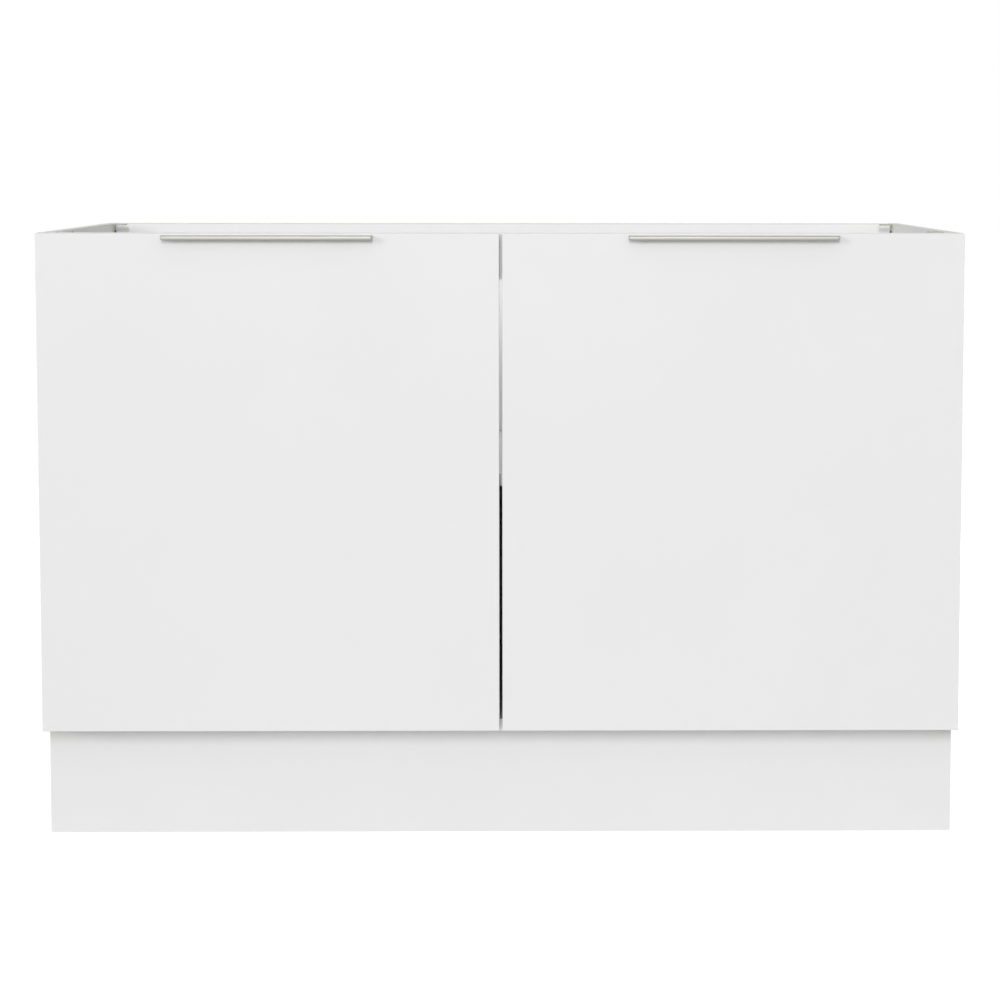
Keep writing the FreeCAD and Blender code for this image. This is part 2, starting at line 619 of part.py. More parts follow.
# Doors, handles and what is fixed to them
HANDLE_MIDDLE_Z = "(%s - (handle_lip - handle_groove)/2)" % HANDLE_TOP
handle_screws, handle_holes, handle_taps = [], [], []
for sign in ("", "-"):
    screw_x = "(-%s + (%shandle_screw_spacing/2))" % (DOOR_CENTRE, sign)
    start = "(%s - handle_screw_grip)" % DOOR_FRONT
    length = "(handle_screw_grip + door_thickness)"
    handle_screws.append(fuse([
        cyl("handle_screw_radius", length + " - screw_fit", screw_x, start, HANDLE_MIDDLE_Z, AXIS_Y),
        cyl("handle_head_radius", "handle_head_height", screw_x,
            "%s - handle_head_height - screw_fit" % DOOR_BACK, HANDLE_MIDDLE_Z, AXIS_Y)]))
    tap = cyl("handle_screw_radius + screw_fit", length, screw_x,
              "%s - screw_fit" % start, HANDLE_MIDDLE_Z, AXIS_Y)
    handle_taps.append(tap)
    handle_holes += [tap, cyl("handle_head_radius + screw_fit", "handle_head_height + screw_fit + 1", screw_x,
                              "%s - handle_head_height - screw_fit" % DOOR_BACK, HANDLE_MIDDLE_Z, AXIS_Y)]
door_blank = round_front(board(DOOR_WIDTH, "door_thickness", "%s - %s" % (DOOR_TOP, DOOR_BOTTOM),
                               "-%s + door_reveal" % OUTER, DOOR_FRONT, DOOR_BOTTOM),
                         "door_edge_radius", DOOR_FRONT, "door_thickness")
left_door = cut(door_blank, door_cuts + handle_holes)
node("left_door", left_door)
node("right_door", mirror(left_door))

grip = box("handle_length", "handle_projection", "handle_lip",
           "-%s - handle_length/2" % DOOR_CENTRE, HANDLE_FRONT, "%s - handle_lip" % HANDLE_TOP)
finger_groove = box("handle_length + 2", "handle_projection - handle_lip_thickness - handle_root",
                    "handle_groove + 1", "-%s - handle_length/2 - 1" % DOOR_CENTRE,
                    "%s + handle_lip_thickness" % HANDLE_FRONT, "%s - handle_lip - 1" % HANDLE_TOP)
handle_blank = round_front(cut(grip, [finger_groove]), "handle_edge_radius", HANDLE_FRONT, "handle_lip")
left_handle = cut(handle_blank, handle_taps)
node("left_handle", left_handle)
node("right_handle", mirror(left_handle))

bumpers = [cyl("bumper_radius", "bumper_height", "-%s + door_reveal + %s - bumper_edge" % (OUTER, DOOR_WIDTH),
               DOOR_BACK, level, AXIS_Y)
           for level in ("%s + bumper_seat" % DOOR_BOTTOM, "%s - bumper_seat" % DOOR_TOP)]
for stem, pieces in (("handle_screws", handle_screws), ("door_bumpers", bumpers),
                     ("hinge_cup_pins", all_cup_pins), ("hinge_cup_screws", all_cup_screws)):
    left_group = group(pieces)
    node("left_" + stem, left_group)
    node("right_" + stem, mirror(left_group))

# Small fittings of the carcass
for label, pieces in (("dowels", dowels), ("cam_bolts", bolts), ("cam_discs", cams),
                      ("shelf_pins", shelf_pins), ("worktop_brackets", brackets),
                      ("bracket_screws", bracket_screws), ("hinge_plate_screws", all_plate_screws),
                      ("hinge_arm_pins", all_arm_pins)):
    node(label, group(both(pieces)))

# Levelling legs under the bottom panel
LEG_TOP = "(toe_height - leg_flange_thickness)"
legs, leg_screws, clips = [], [], []
for x, y in leg_spots:
    flange = box("leg_flange", "leg_flange", "leg_flange_thickness",
                 "%s - leg_flange/2" % x, "%s - leg_flange/2" % y, LEG_TOP)
    sleeve = cyl("leg_radius", "toe_height - leg_end", x, y, "leg_end")
    bore = cyl("leg_bore_radius", "leg_bore_depth", x, y, "leg_end - 1")
    screw_holes = [cyl("leg_screw_radius + screw_fit", "leg_flange_thickness + 2", sx, sy, "%s - 1" % LEG_TOP)
                   for sx, sy in leg_screw_spots if abs(val(sx) - val(x)) < val("leg_flange/2")
                   and abs(val(sy) - val(y)) < val("leg_flange/2")]
    collar = cone("leg_radius", "leg_collar_radius", "leg_collar_height", x, y,
                  "%s - leg_collar_height" % LEG_TOP)
    legs.append(cut(fuse([flange, sleeve, collar]), [bore] + screw_holes))
for x, y in leg_screw_spots:
    leg_screws.append(fuse([
        cyl("leg_screw_radius", "leg_screw_length + leg_flange_thickness", x, y, LEG_TOP),
        cyl("screw_head_radius", "screw_head_height", x, y, "%s - screw_head_height" % LEG_TOP)]))
node("leg_sleeves", group(legs))
node("leg_screws", group(leg_screws))

FOOT_NAMES = ("foot_front_left", "foot_front_middle", "foot_front_right",
              "foot_rear_left", "foot_rear_middle", "foot_rear_right")
for label, (x, y) in zip(FOOT_NAMES, leg_spots):
    node(label, fuse([cyl("foot_radius", "foot_height", x, y, "0"),
                      cone("foot_radius", "foot_neck_radius", "foot_cone_height", x, y, "foot_height"),
                      cyl("foot_neck_radius", "foot_neck_top", x, y, "0"),
                      cyl("leg_bore_radius - foot_stem_clear", "foot_stem_top", x, y, "0")]))

for x, y in leg_spots[:3]:
    block = box("clip_width", "%s + clip_grip - %s" % (y, PLINTH_BACK), "clip_height",
                "%s - clip_width/2" % x, PLINTH_BACK, "clip_level")
    hold = cyl("leg_radius + clip_clear", "clip_height + 2", x, y, "clip_level - 1")
    clips.append(cut(block, [hold]))
node("plinth_clips", group(clips))

doc.recompute()

for obj in doc.Objects:
    if "Invalid" in obj.State or "Error" in obj.State:
        raise RuntimeError("%s did not build: %s" % (obj.Label, obj.State))
for obj in nodes:
    if obj.Shape.isNull() or not obj.Shape.isValid():
        raise RuntimeError("%s has no valid shape" % obj.Label)

os.makedirs("parts", exist_ok=True)
for obj in nodes:
    obj.Shape.exportStep("parts/%s.step" % obj.Label)
    print(obj.Label, len(obj.Shape.Solids), round(obj.Shape.Volume, 1))
print("nodes", len(nodes))
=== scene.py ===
"""Looks of a two-door kitchen base cabinet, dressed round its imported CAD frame.

Metres. X runs along the width, the front faces -Y and Z is up from the floor.
"""

from __future__ import annotations

import logging
import math
from collections.abc import Iterable, Sequence
from dataclasses import dataclass
from enum import Enum

import bpy
import numpy as np
from mathutils import Matrix, Vector

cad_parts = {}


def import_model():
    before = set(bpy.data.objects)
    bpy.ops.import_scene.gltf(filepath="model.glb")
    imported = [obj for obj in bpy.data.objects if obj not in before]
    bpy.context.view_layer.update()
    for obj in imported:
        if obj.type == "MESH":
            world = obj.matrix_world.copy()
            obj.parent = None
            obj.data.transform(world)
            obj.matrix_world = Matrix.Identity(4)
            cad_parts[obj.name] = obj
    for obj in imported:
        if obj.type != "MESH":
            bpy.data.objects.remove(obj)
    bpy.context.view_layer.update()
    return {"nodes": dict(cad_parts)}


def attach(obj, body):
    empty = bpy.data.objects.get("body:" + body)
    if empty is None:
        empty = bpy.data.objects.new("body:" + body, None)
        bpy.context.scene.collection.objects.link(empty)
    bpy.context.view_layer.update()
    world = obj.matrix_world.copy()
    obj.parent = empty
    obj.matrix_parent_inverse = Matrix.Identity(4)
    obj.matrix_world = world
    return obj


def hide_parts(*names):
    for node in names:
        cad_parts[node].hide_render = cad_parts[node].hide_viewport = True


LOG = logging.getLogger("base_cabinet")
Span = tuple[float, float]
Triple = tuple[float, float, float]
Colour = Triple
Socket = bpy.types.NodeSocket

MM = 0.001
WHOLE: Span = (0.0, 1.0)
WHITE = (1.0, 1.0, 1.0, 1.0)
CARCASS_FRONT = -264.0 * MM
DOOR_BACK = -266.0 * MM
PULL_X = 300.25 * MM
HINGE_LEVELS = {"lower": 250.0 * MM, "upper": 699.5 * MM}
LEG_X = {"left": -510.0 * MM, "middle": 0.0, "right": 510.0 * MM}
LEG_Y = {"front": -164.0 * MM, "rear": 206.0 * MM}
# How far an eased edge is set back at three points across it, as shares of the ease.
EASED = np.array([1.0, 0.3, 0.0])


def grey(level: float) -> Colour:
    """A neutral colour of the given linear level."""
    return (level, level, level)


def shade(colour: Colour, factor: float = 1.0) -> tuple[float, float, float, float]:
    """A colour made lighter or darker, with full alpha."""
    return (colour[0] * factor, colour[1] * factor, colour[2] * factor, 1.0)


class Side(Enum):
    """A side of the cabinet, by its way along X."""

    LEFT = -1.0
    RIGHT = 1.0

    @property
    def word(self) -> str:
        """The side's word in the names of pieces."""
        return self.name.lower()


@dataclass(frozen=True)
class Noise:
    """Cloudy noise in object coordinates: waves to the metre, and a stretch along the axes."""

    scale: float
    detail: float = 2.0
    roughness: float = 0.5
    stretch: Triple = (1.0, 1.0, 1.0)


class Graph:
    """A node tree, with short ways to add nodes and join them."""

    def __init__(self, owner: bpy.types.Material | bpy.types.World) -> None:
        """Starts an empty tree.

        Args:
            owner: The material or world that the tree belongs to.
        """
        owner.use_nodes = True
        self.owner = owner
        self.tree = owner.node_tree
        self.tree.nodes.clear()
        self.noises: dict[Noise, Socket] = {}

    def add(self, kind: str, sockets: dict | None = None, **settings: object) -> bpy.types.Node:
        """Adds a node.

        Args:
            kind: Blender's type name of the node.
            sockets: Constants, or sockets to link, by input name or index.
            settings: Properties of the node.

        Returns:
            The new node.
        """
        node = self.tree.nodes.new(kind)
        for key, value in settings.items():
            setattr(node, key, value)
        for key, value in (sockets or {}).items():
            if isinstance(value, bpy.types.NodeSocket):
                self.tree.links.new(value, node.inputs[key])
            else:
                node.inputs[key].default_value = value
        return node

    def where(self, stretch: Triple = (1.0, 1.0, 1.0)) -> Socket:
        """Object coordinates, stretched along the axes."""
        coords = self.add("ShaderNodeTexCoord").outputs["Object"]
        return self.add("ShaderNodeMapping", {"Vector": coords, "Scale": stretch}).outputs["Vector"]

    def parts(self, coordinates: str) -> bpy.types.bpy_prop_collection:
        """One kind of texture coordinates, split into outputs X, Y and Z."""
        vector = self.add("ShaderNodeTexCoord").outputs[coordinates]
        return self.add("ShaderNodeSeparateXYZ", {"Vector": vector}).outputs

    def noise(self, pattern: Noise) -> Socket:
        """Cloudy noise, made once for each pattern.

        Args:
            pattern: Its scale, detail, roughness and stretch.

        Returns:
            A value from 0 to 1.
        """
        if pattern not in self.noises:
            sockets = {"Vector": self.where(pattern.stretch), "Scale": pattern.scale,
                       "Detail": pattern.detail, "Roughness": pattern.roughness}
            self.noises[pattern] = self.add("ShaderNodeTexNoise", sockets).outputs["Fac"]
        return self.noises[pattern]

    def cells(self, scale: float) -> Socket:
        """A random grey for each of many small cells."""
        node = self.add("ShaderNodeTexVoronoi", {"Vector": self.where(), "Scale": scale})
        return self.add("ShaderNodeRGBToBW", {"Color": node.outputs["Color"]}).outputs["Val"]

    def math(self, operation: str, first: object, second: object) -> Socket:
        """One arithmetic step."""
        return self.add("ShaderNodeMath", {0: first, 1: second}, operation=operation).outputs[0]

    def blend(self, share: float, first: Socket, second: Socket) -> Socket:
        """A weighted mean of two values, with the share that the first has."""
        rest = self.math("MULTIPLY", second, 1.0 - share)
        return self.math("ADD", self.math("MULTIPLY", first, share), rest)

    def spread(self, value: Socket, span: Span, to: Span) -> Socket:
        """A value carried from one span to another and held there."""
        sockets = {"Value": value, "From Min": span[0], "From Max": span[1], "To Min": to[0], "To Max": to[1]}
        return self.add("ShaderNodeMapRange", sockets).outputs["Result"]

    def mix(self, share: object, first: object, second: object) -> Socket:
        """A blend of two colours."""
        return self.add("ShaderNodeMix", {0: share, 6: first, 7: second}, data_type="RGBA").outputs[2]

    def bump(self, height: Socket, depth: float) -> Socket:
        """A normal that follows a height of so many metres."""
        return self.add("ShaderNodeBump", {"Height": height, "Distance": depth}).outputs["Normal"]

    def end(self, kind: str, shader: bpy.types.Node) -> None:
        """Joins a shader to a new output node of the given kind."""
        self.add(kind, {"Surface": shader.outputs[0]})


@dataclass(frozen=True)
class Finish:
    """Two close tones in clouds, with a gloss that sways and a fine grain in its height.

    The tones run over cloud_span of the clouds, and the gloss over gloss_span of the sheen. Without noises of
    their own, the sheen follows the clouds and the grain the sheen.
    """

    name: str
    slot: str
    colour: Colour = grey(0.80)
    roughness: float = 0.50
    second: Colour | None = None
    shades: Span = (0.95, 1.05)
    clouds: Noise = Noise(45.0)
    cloud_span: Span = WHOLE
    sheen: Noise | None = None
    gloss_span: Span = (0.3, 0.7)
    gloss_sway: Span = (-0.05, 0.05)
    grain: Noise | None = None
    grain_depth: float = 0.0
    metallic: float = 0.0

    def covered(self, graph: Graph, tone: Socket) -> Socket:
        """What lies over the tone, which is nothing on a plain finish."""
        return tone

    def extras(self) -> dict[str, float]:
        """Further constants of the surface by socket name."""
        return {}

    def build(self) -> bpy.types.Material:
        """Makes the material's nodes.

        Returns:
            The finished material.
        """
        graph = Graph(bpy.data.materials.new(self.name))
        share = graph.spread(graph.noise(self.clouds), self.cloud_span, WHOLE)
        tone = graph.mix(share, shade(self.colour, self.shades[0]),
                         shade(self.second or self.colour, self.shades[1]))
        sheen = self.sheen or self.clouds
        low, high = (self.roughness + sway for sway in self.gloss_sway)
        gloss = graph.spread(graph.noise(sheen), self.gloss_span, (low, high))
        sockets = {"Base Color": self.covered(graph, tone), "Metallic": self.metallic, "Roughness": gloss,
                   **self.extras()}
        if self.grain_depth:
            sockets["Normal"] = graph.bump(graph.noise(self.grain or sheen), self.grain_depth)
        graph.end("ShaderNodeOutputMaterial", graph.add("ShaderNodeBsdfPrincipled", sockets))
        return graph.owner

    def dress(self, piece: bpy.types.Object) -> None:
        """Puts the finish on a piece in place of what it had. The material is made once.

        Args:
            piece: The object to dress.
        """
        piece.data.materials.clear()
        piece.data.materials.append(bpy.data.materials.get(self.name) or self.build())


@dataclass(frozen=True)
class SatinLacquer(Finish):
    """Sprayed satin white with a faint orange peel in its gloss and height."""

    roughness: float = 0.40
    shades: Span = (0.994, 1.006)
    clouds: Noise = Noise(5.0, 3.0)
    cloud_span: Span = (0.35, 0.65)
    sheen: Noise = Noise(220.0, 3.0)
    gloss_sway: Span = (-0.04, 0.04)
    grain_depth: float = 0.012 * MM


class Face(Enum):
    """A side of a board, as an axis and the way it faces along it."""

    TOP = (2, 1.0)
    BOTTOM = (2, -1.0)
    REAR = (1, 1.0)


class EdgeCover(Enum):
    """What shows on the edge of a board."""

    PALE = "pale"
    CORE = "core"


@dataclass(frozen=True)
class MelamineBoard(Finish):
    """White faced chipboard with a pearl grain, and other covers on some of its edges."""

    roughness: float = 0.46
    shades: Span = (0.992, 1.005)
    clouds: Noise = Noise(4.0)
    cloud_span: Span = (0.35, 0.65)
    sheen: Noise = Noise(620.0, 2.0, 0.6)
    grain_depth: float = 0.02 * MM
    edges: tuple[tuple[Face, EdgeCover], ...] = ()
    facing_limit: float = 0.9
    pale: Colour = (0.78, 0.78, 0.72)
    pale_shades: Span = (0.95, 1.05)
    top: float = 800.0 * MM
    band: float = 1.3 * MM
    core_dark: Colour = (0.30, 0.20, 0.11)
    core_light: Colour = (0.66, 0.52, 0.34)
    flakes: float = 420.0
    flake_share: float = 0.6
    dust: Noise = Noise(900.0, 4.0, 0.7)

    def cover(self, graph: Graph, kind: EdgeCover) -> Socket:
        """The colour of one kind of edge.

        Args:
            graph: The tree to add to.
            kind: What covers the edge.

        Returns:
            A colour.
        """
        flakes = graph.cells(self.flakes)
        if kind is EdgeCover.PALE:
            return graph.mix(flakes, *(shade(self.pale, factor) for factor in self.pale_shades))
        chips = graph.blend(self.flake_share, flakes, graph.noise(self.dust))
        return graph.mix(chips, shade(self.core_dark), shade(self.core_light))

    def covered(self, graph: Graph, tone: Socket) -> Socket:
        """The white, switched to an edge's cover where the normal faces that way.

        The pale tone also runs down every face in a thin band below the top.

        Args:
            graph: The tree to add to.
            tone: The colour of the faces.

        Returns:
            The colour of faces and edges.
        """
        normal, height = graph.parts("Normal"), graph.parts("Object")["Z"]
        for face, kind in self.edges:
            axis, way = face.value
            share = graph.math("GREATER_THAN", graph.math("MULTIPLY", normal[axis], way), self.facing_limit)
            if kind is EdgeCover.PALE:
                share = graph.math("MAXIMUM", share, graph.math("GREATER_THAN", height, self.top - self.band))
            tone = graph.mix(share, tone, self.cover(graph, kind))
        return tone


@dataclass(frozen=True)
class FaceOneSide(Finish):
    """Thin fibreboard, white towards the inside and felted brown behind."""

    shades: Span = (0.99, 1.005)
    clouds: Noise = Noise(7.0, 3.0)
    sheen: Noise = Noise(620.0)
    gloss_sway: Span = (-0.05, 0.08)
    grain: Noise = Noise(260.0, 5.0, 0.7, (1.0, 1.0, 0.5))
    grain_depth: float = 0.03 * MM
    fibre_dark: Colour = (0.17, 0.095, 0.05)
    fibre_light: Colour = (0.27, 0.165, 0.09)
    felt_share: float = 0.7
    facing_limit: float = -0.5

    def covered(self, graph: Graph, tone: Socket) -> Socket:
        """White where the normal faces the front, brown fibre elsewhere.

        Args:
            graph: The tree to add to.
            tone: The white.

        Returns:
            The colour of both faces.
        """
        felt = graph.blend(self.felt_share, graph.noise(self.grain), graph.noise(self.clouds))
        fibre = graph.mix(felt, shade(self.fibre_dark), shade(self.fibre_light))
        return graph.mix(graph.math("LESS_THAN", graph.parts("Normal")["Y"], self.facing_limit), fibre, tone)


@dataclass(frozen=True)
class BrushedMetal(Finish):
    """Metal with streaks along X that lighten, roughen and scratch it a little."""

    colour: Colour = (0.385, 0.385, 0.355)
    roughness: float = 0.44
    clouds: Noise = Noise(1.0, 4.0, 0.6, (6.0, 700.0, 700.0))
    cloud_span: Span = (0.3, 0.7)
    gloss_span: Span = (0.25, 0.75)
    gloss_sway: Span = (-0.06, 0.08)
    grain_depth: float = 0.008 * MM
    metallic: float = 1.0


@dataclass(frozen=True)
class PlatedMetal(Finish):
    """Bright plating over pressed steel, in two close tints over a fine tool grain."""

    colour: Colour = (0.58, 0.57, 0.545)
    roughness: float = 0.27
    second: Colour = (0.54, 0.54, 0.53)
    shades: Span = (1.0, 1.0)
    clouds: Noise = Noise(45.0, 2.0, 0.4)
    cloud_span: Span = (0.2, 0.8)
    gloss_span: Span = (0.2, 0.8)
    gloss_sway: Span = (-0.03, 0.04)
    grain: Noise = Noise(1500.0)
    grain_depth: float = 0.006 * MM
    metallic: float = 1.0


@dataclass(frozen=True)
class CoatedSheet(Finish):
    """Steel under a thin grainy coat with paler rubbed patches."""

    shades: Span = (1.0, 1.0)
    clouds: Noise = Noise(140.0, 4.0, 0.65)
    cloud_span: Span = (0.55, 0.72)
    gloss_span: Span = (0.4, 0.7)
    gloss_sway: Span = (0.0, -0.15)
    grain: Noise = Noise(1400.0, 3.0)
    grain_depth: float = 0.03 * MM


@dataclass(frozen=True)
class MouldedPlastic(Finish):
    """Near black plastic with a fine moulded grain and faint flow clouds."""

    colour: Colour = (0.022, 0.022, 0.023)
    roughness: float = 0.48
    shades: Span = (0.85, 1.25)
    clouds: Noise = Noise(30.0, 3.0)
    gloss_sway: Span = (-0.07, 0.07)
    grain: Noise = Noise(1800.0, 2.0, 0.6)
    grain_depth: float = 0.04 * MM


@dataclass(frozen=True)
class PlainBeech(Finish):
    """Turned beech, with its grain along the dowel and short darker flecks."""

    colour: Colour = (0.56, 0.40, 0.25)
    roughness: float = 0.575
    shades: Span = (0.85, 1.15)
    clouds: Noise = Noise(1.0, 4.0, 0.6, (30.0, 500.0, 500.0))
    gloss_span: Span = (0.2, 0.8)
    gloss_sway: Span = (-0.075, 0.075)
    grain_depth: float = 0.05 * MM
    fleck: Noise = Noise(1.0, stretch=(120.0, 900.0, 900.0))
    fleck_span: Span = (0.6, 0.7)
    fleck_share: Span = (0.0, 0.6)
    fleck_shade: float = 0.6

    def covered(self, graph: Graph, tone: Socket) -> Socket:
        """The grain with its flecks."""
        share = graph.spread(graph.noise(self.fleck), self.fleck_span, self.fleck_share)
        return graph.mix(share, tone, shade(self.colour, self.fleck_shade))


@dataclass(frozen=True)
class SoftPad(Finish):
    """Clear soft plastic, slightly milky, whose gloss varies a little."""

    colour: Colour = (0.82, 0.82, 0.80)
    roughness: float = 0.25
    shades: Span = (0.95, 1.04)
    clouds: Noise = Noise(500.0)
    gloss_sway: Span = (-0.07, 0.07)
    clearness: float = 0.45
    refraction: float = 1.46

    def extras(self) -> dict[str, float]:
        """Lets some of the light through."""
        return {"Transmission Weight": self.clearness, "IOR": self.refraction}


DOOR_WHITE = SatinLacquer("door_satin_white", "white_board")
PLINTH_WHITE = SatinLacquer("plinth_satin_white", "white_board", roughness=0.44)
SIDE_BOARD = MelamineBoard("side_board", "white_board", grey(0.85), edges=(
    (Face.TOP, EdgeCover.PALE), (Face.REAR, EdgeCover.CORE), (Face.BOTTOM, EdgeCover.CORE)))
# Painted light: the rails' white is a little lighter than the other melamine boards', standing in for light
# that falls on them.
RAIL_BOARD = MelamineBoard("rail_board", "white_board", grey(0.88), edges=((Face.TOP, EdgeCover.PALE),))
FRONT_RAIL_BOARD = MelamineBoard("front_rail_board", "white_board", grey(0.88),
                                 edges=((Face.BOTTOM, EdgeCover.CORE),))
FLAT_BOARD = MelamineBoard("flat_board", "white_board", grey(0.85), edges=((Face.REAR, EdgeCover.CORE),))
BACK_SHEET = FaceOneSide("back_sheet", "back_board", grey(0.92))
HANDLE_METAL = BrushedMetal("handle_brushed", "handle_metal")
HINGE_NICKEL = PlatedMetal("hinge_nickel", "hinge_steel")
SCREW_ZINC = PlatedMetal("screw_zinc", "screw_steel", (0.56, 0.57, 0.59), 0.32, (0.57, 0.555, 0.51))
BRACKET_COAT = CoatedSheet("bracket_coat", "bracket_steel", (0.46, 0.46, 0.395), 0.50, (0.54, 0.535, 0.47))
SCREW_BLACK = CoatedSheet("screw_black", "screw_steel", (0.03, 0.03, 0.027), 0.42, (0.09, 0.088, 0.08))
DOWEL_BEECH = PlainBeech("dowel_beech", "dowel_wood")
LEG_BLACK = MouldedPlastic("leg_black", "leg_plastic")
PAD_CLEAR = SoftPad("pad_clear", "bumper_soft")


def stand(name: str, data: bpy.types.ID) -> bpy.types.Object:
    """Puts a new object in the scene.

    Args:
        name: The object's name.
        data: Its mesh, light or camera.

    Returns:
        The new object.
    """
    made = bpy.data.objects.new(name, data)
    bpy.context.scene.collection.objects.link(made)
    return made


class Facing(Enum):
    """Which way the head of an upright turned piece ends up pointing, as the rows of a rotation."""

    INWARD_FROM_LEFT = ((0, 0, 1), (1, 0, 0), (0, 1, 0))
    INWARD_FROM_RIGHT = ((0, 0, -1), (-1, 0, 0), (0, 1, 0))
    REARWARD = ((1, 0, 0), (0, 0, 1), (0, -1, 0))
    FORWARD = ((-1, 0, 0), (0, 0, -1), (0, -1, 0))
    UPWARD = ((1, 0, 0), (0, 1, 0), (0, 0, 1))
    DOWNWARD = ((1, 0, 0), (0, -1, 0), (0, 0, -1))


@dataclass
class Skin:
    """Points and faces of one or more closed surfaces."""

    points: np.ndarray
    quads: np.ndarray
    tris: np.ndarray

    @classmethod
    def over(cls, rings: np.ndarray, first: np.ndarray | None = None, last: np.ndarray | None = None) -> Skin:
        """A skin over rings of points, closed by a fan at each end.

        The faces join point (i, j) to (i, j+1), (i+1, j+1) and (i+1, j), with j running round.

        Args:
            rings: Rows by columns by 3.
            first: The point that closes the first ring, or None for its middle.
            last: The point that closes the last ring, or None for its middle.

        Returns:
            A closed skin whose faces point outwards.
        """
        rows, cols, _ = rings.shape
        first = rings[0].mean(0) if first is None else first
        last = rings[-1].mean(0) if last is None else last
        points = np.concatenate([rings.reshape(-1, 3), first[None], last[None]])
        here = np.arange(cols)
        after = (here + 1) % cols
        start = (np.arange(rows - 1) * cols)[:, None]
        quads = np.stack([start + here, start + after, start + cols + after, start + cols + here], -1)
        base = (rows - 1) * cols
        head = np.stack([np.full(cols, rows * cols), after, here], -1)
        tail = np.stack([np.full(cols, rows * cols + 1), base + here, base + after], -1)
        return cls(points, quads.reshape(-1, 4), np.concatenate([head, tail])).outward()

    def outward(self) -> Skin:
        """The same skin, turned over if its volume, the sum of a . (b x c) / 6, comes out negative.

        Returns:
            A skin whose faces point outwards.
        """
        corners = np.concatenate([self.quads[:, [0, 1, 2]], self.quads[:, [0, 2, 3]], self.tris])
        a, b, c = (self.points[corners[:, k]] for k in range(3))
        if np.einsum("ij,ij->", a, np.cross(b, c)) < 0:
            return Skin(self.points, self.quads[:, ::-1], self.tris[:, ::-1])
        return self

    def at(self, spots: np.ndarray, facing: Facing = Facing.UPWARD) -> Skin:
        """The skin repeated at several spots.

        Args:
            spots: Points, one row each, in metres.
            facing: Which way each copy is turned.

        Returns:
            All the copies as one skin, still unjoined.
        """
        points = self.points @ np.array(facing.value, float).T + spots[:, None]
        step = len(self.points) * np.arange(len(spots))[:, None, None]
        return Skin(points.reshape(-1, 3), (self.quads + step).reshape(-1, 4),
                    (self.tris + step).reshape(-1, 3))

    def mirrored(self) -> Skin:
        """The skin on the other side of the cabinet's middle plane."""
        return Skin(self.points * (-1.0, 1.0, 1.0), self.quads[:, ::-1], self.tris[:, ::-1])

    @staticmethod
    def together(skins: list[Skin]) -> Skin:
        """Several skins as one, still unjoined.

        Args:
            skins: The skins to gather.

        Returns:
            One skin with all their points and faces.
        """
        starts = np.cumsum([0] + [len(skin.points) for skin in skins[:-1]])
        return Skin(np.concatenate([skin.points for skin in skins]),
                    np.concatenate([skin.quads + start for skin, start in zip(skins, starts)]),
                    np.concatenate([skin.tris + start for skin, start in zip(skins, starts)]))

    def piece(self, name: str, finish: Finish, body: str, *nodes: str, crease: float = 35.0) -> None:
        """Makes the skin a piece of the object.

        Args:
            name: The piece's name.
            finish: What it is dressed in.
            body: The CAD body that it rides on.
            nodes: The CAD nodes that it stands for.
            crease: Edges sharper than this many degrees stay sharp.
        """
        mesh = bpy.data.meshes.new(name)
        mesh.from_pydata(self.points.tolist(), [], self.quads.tolist() + self.tris.tolist())
        mesh.polygons.foreach_set("use_smooth", np.ones(len(mesh.polygons), bool))
        mesh.set_sharp_from_angle(angle=math.radians(crease))
        mesh.update()
        made = stand(name, mesh)
        finish.dress(made)
        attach(made, body)
        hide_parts(*nodes)
        LOG.info("piece %s: %d points, rides on %s", name, len(self.points), body)


def about(middles: Iterable[float], spread: float) -> tuple[float, ...]:
    """Each value less a spread and plus it."""
    return tuple(middle + step for middle in middles for step in (-spread, spread))


def grid(xs: Sequence[float], ys: Sequence[float], zs: Sequence[float]) -> np.ndarray:
    """All points that three lists of coordinates give, one row each."""
    return np.stack(np.meshgrid(xs, ys, zs, indexing="ij"), -1).reshape(-1, 3)


def circle(columns: int) -> np.ndarray:
    """Angles that go once round in even steps."""
    return np.linspace(0.0, 2.0 * np.pi, columns, endpoint=False)


def rise(share: np.ndarray) -> np.ndarray:
    """A smooth step, t^2 (3 - 2 t), with t held to the range from 0 to 1."""
    held = np.clip(share, 0.0, 1.0)
    return held ** 2 * (3.0 - 2.0 * held)


def turned(heights: np.ndarray, radii: np.ndarray, columns: int) -> np.ndarray:
    """Rings of a turned shape about Z: (r(s) cos t, r(s) sin t, z(s)).

    Args:
        heights: z along the profile, one value a row, or rows by columns.
        radii: r along the profile, one value a row, or rows by columns.
        columns: How many points go round.

    Returns:
        Rows by columns by 3.
    """
    turn = circle(columns)
    height, radius = (np.atleast_2d(values.T).T * np.ones(columns) for values in (heights, radii))
    return np.stack([radius * np.cos(turn), radius * np.sin(turn), height], -1)


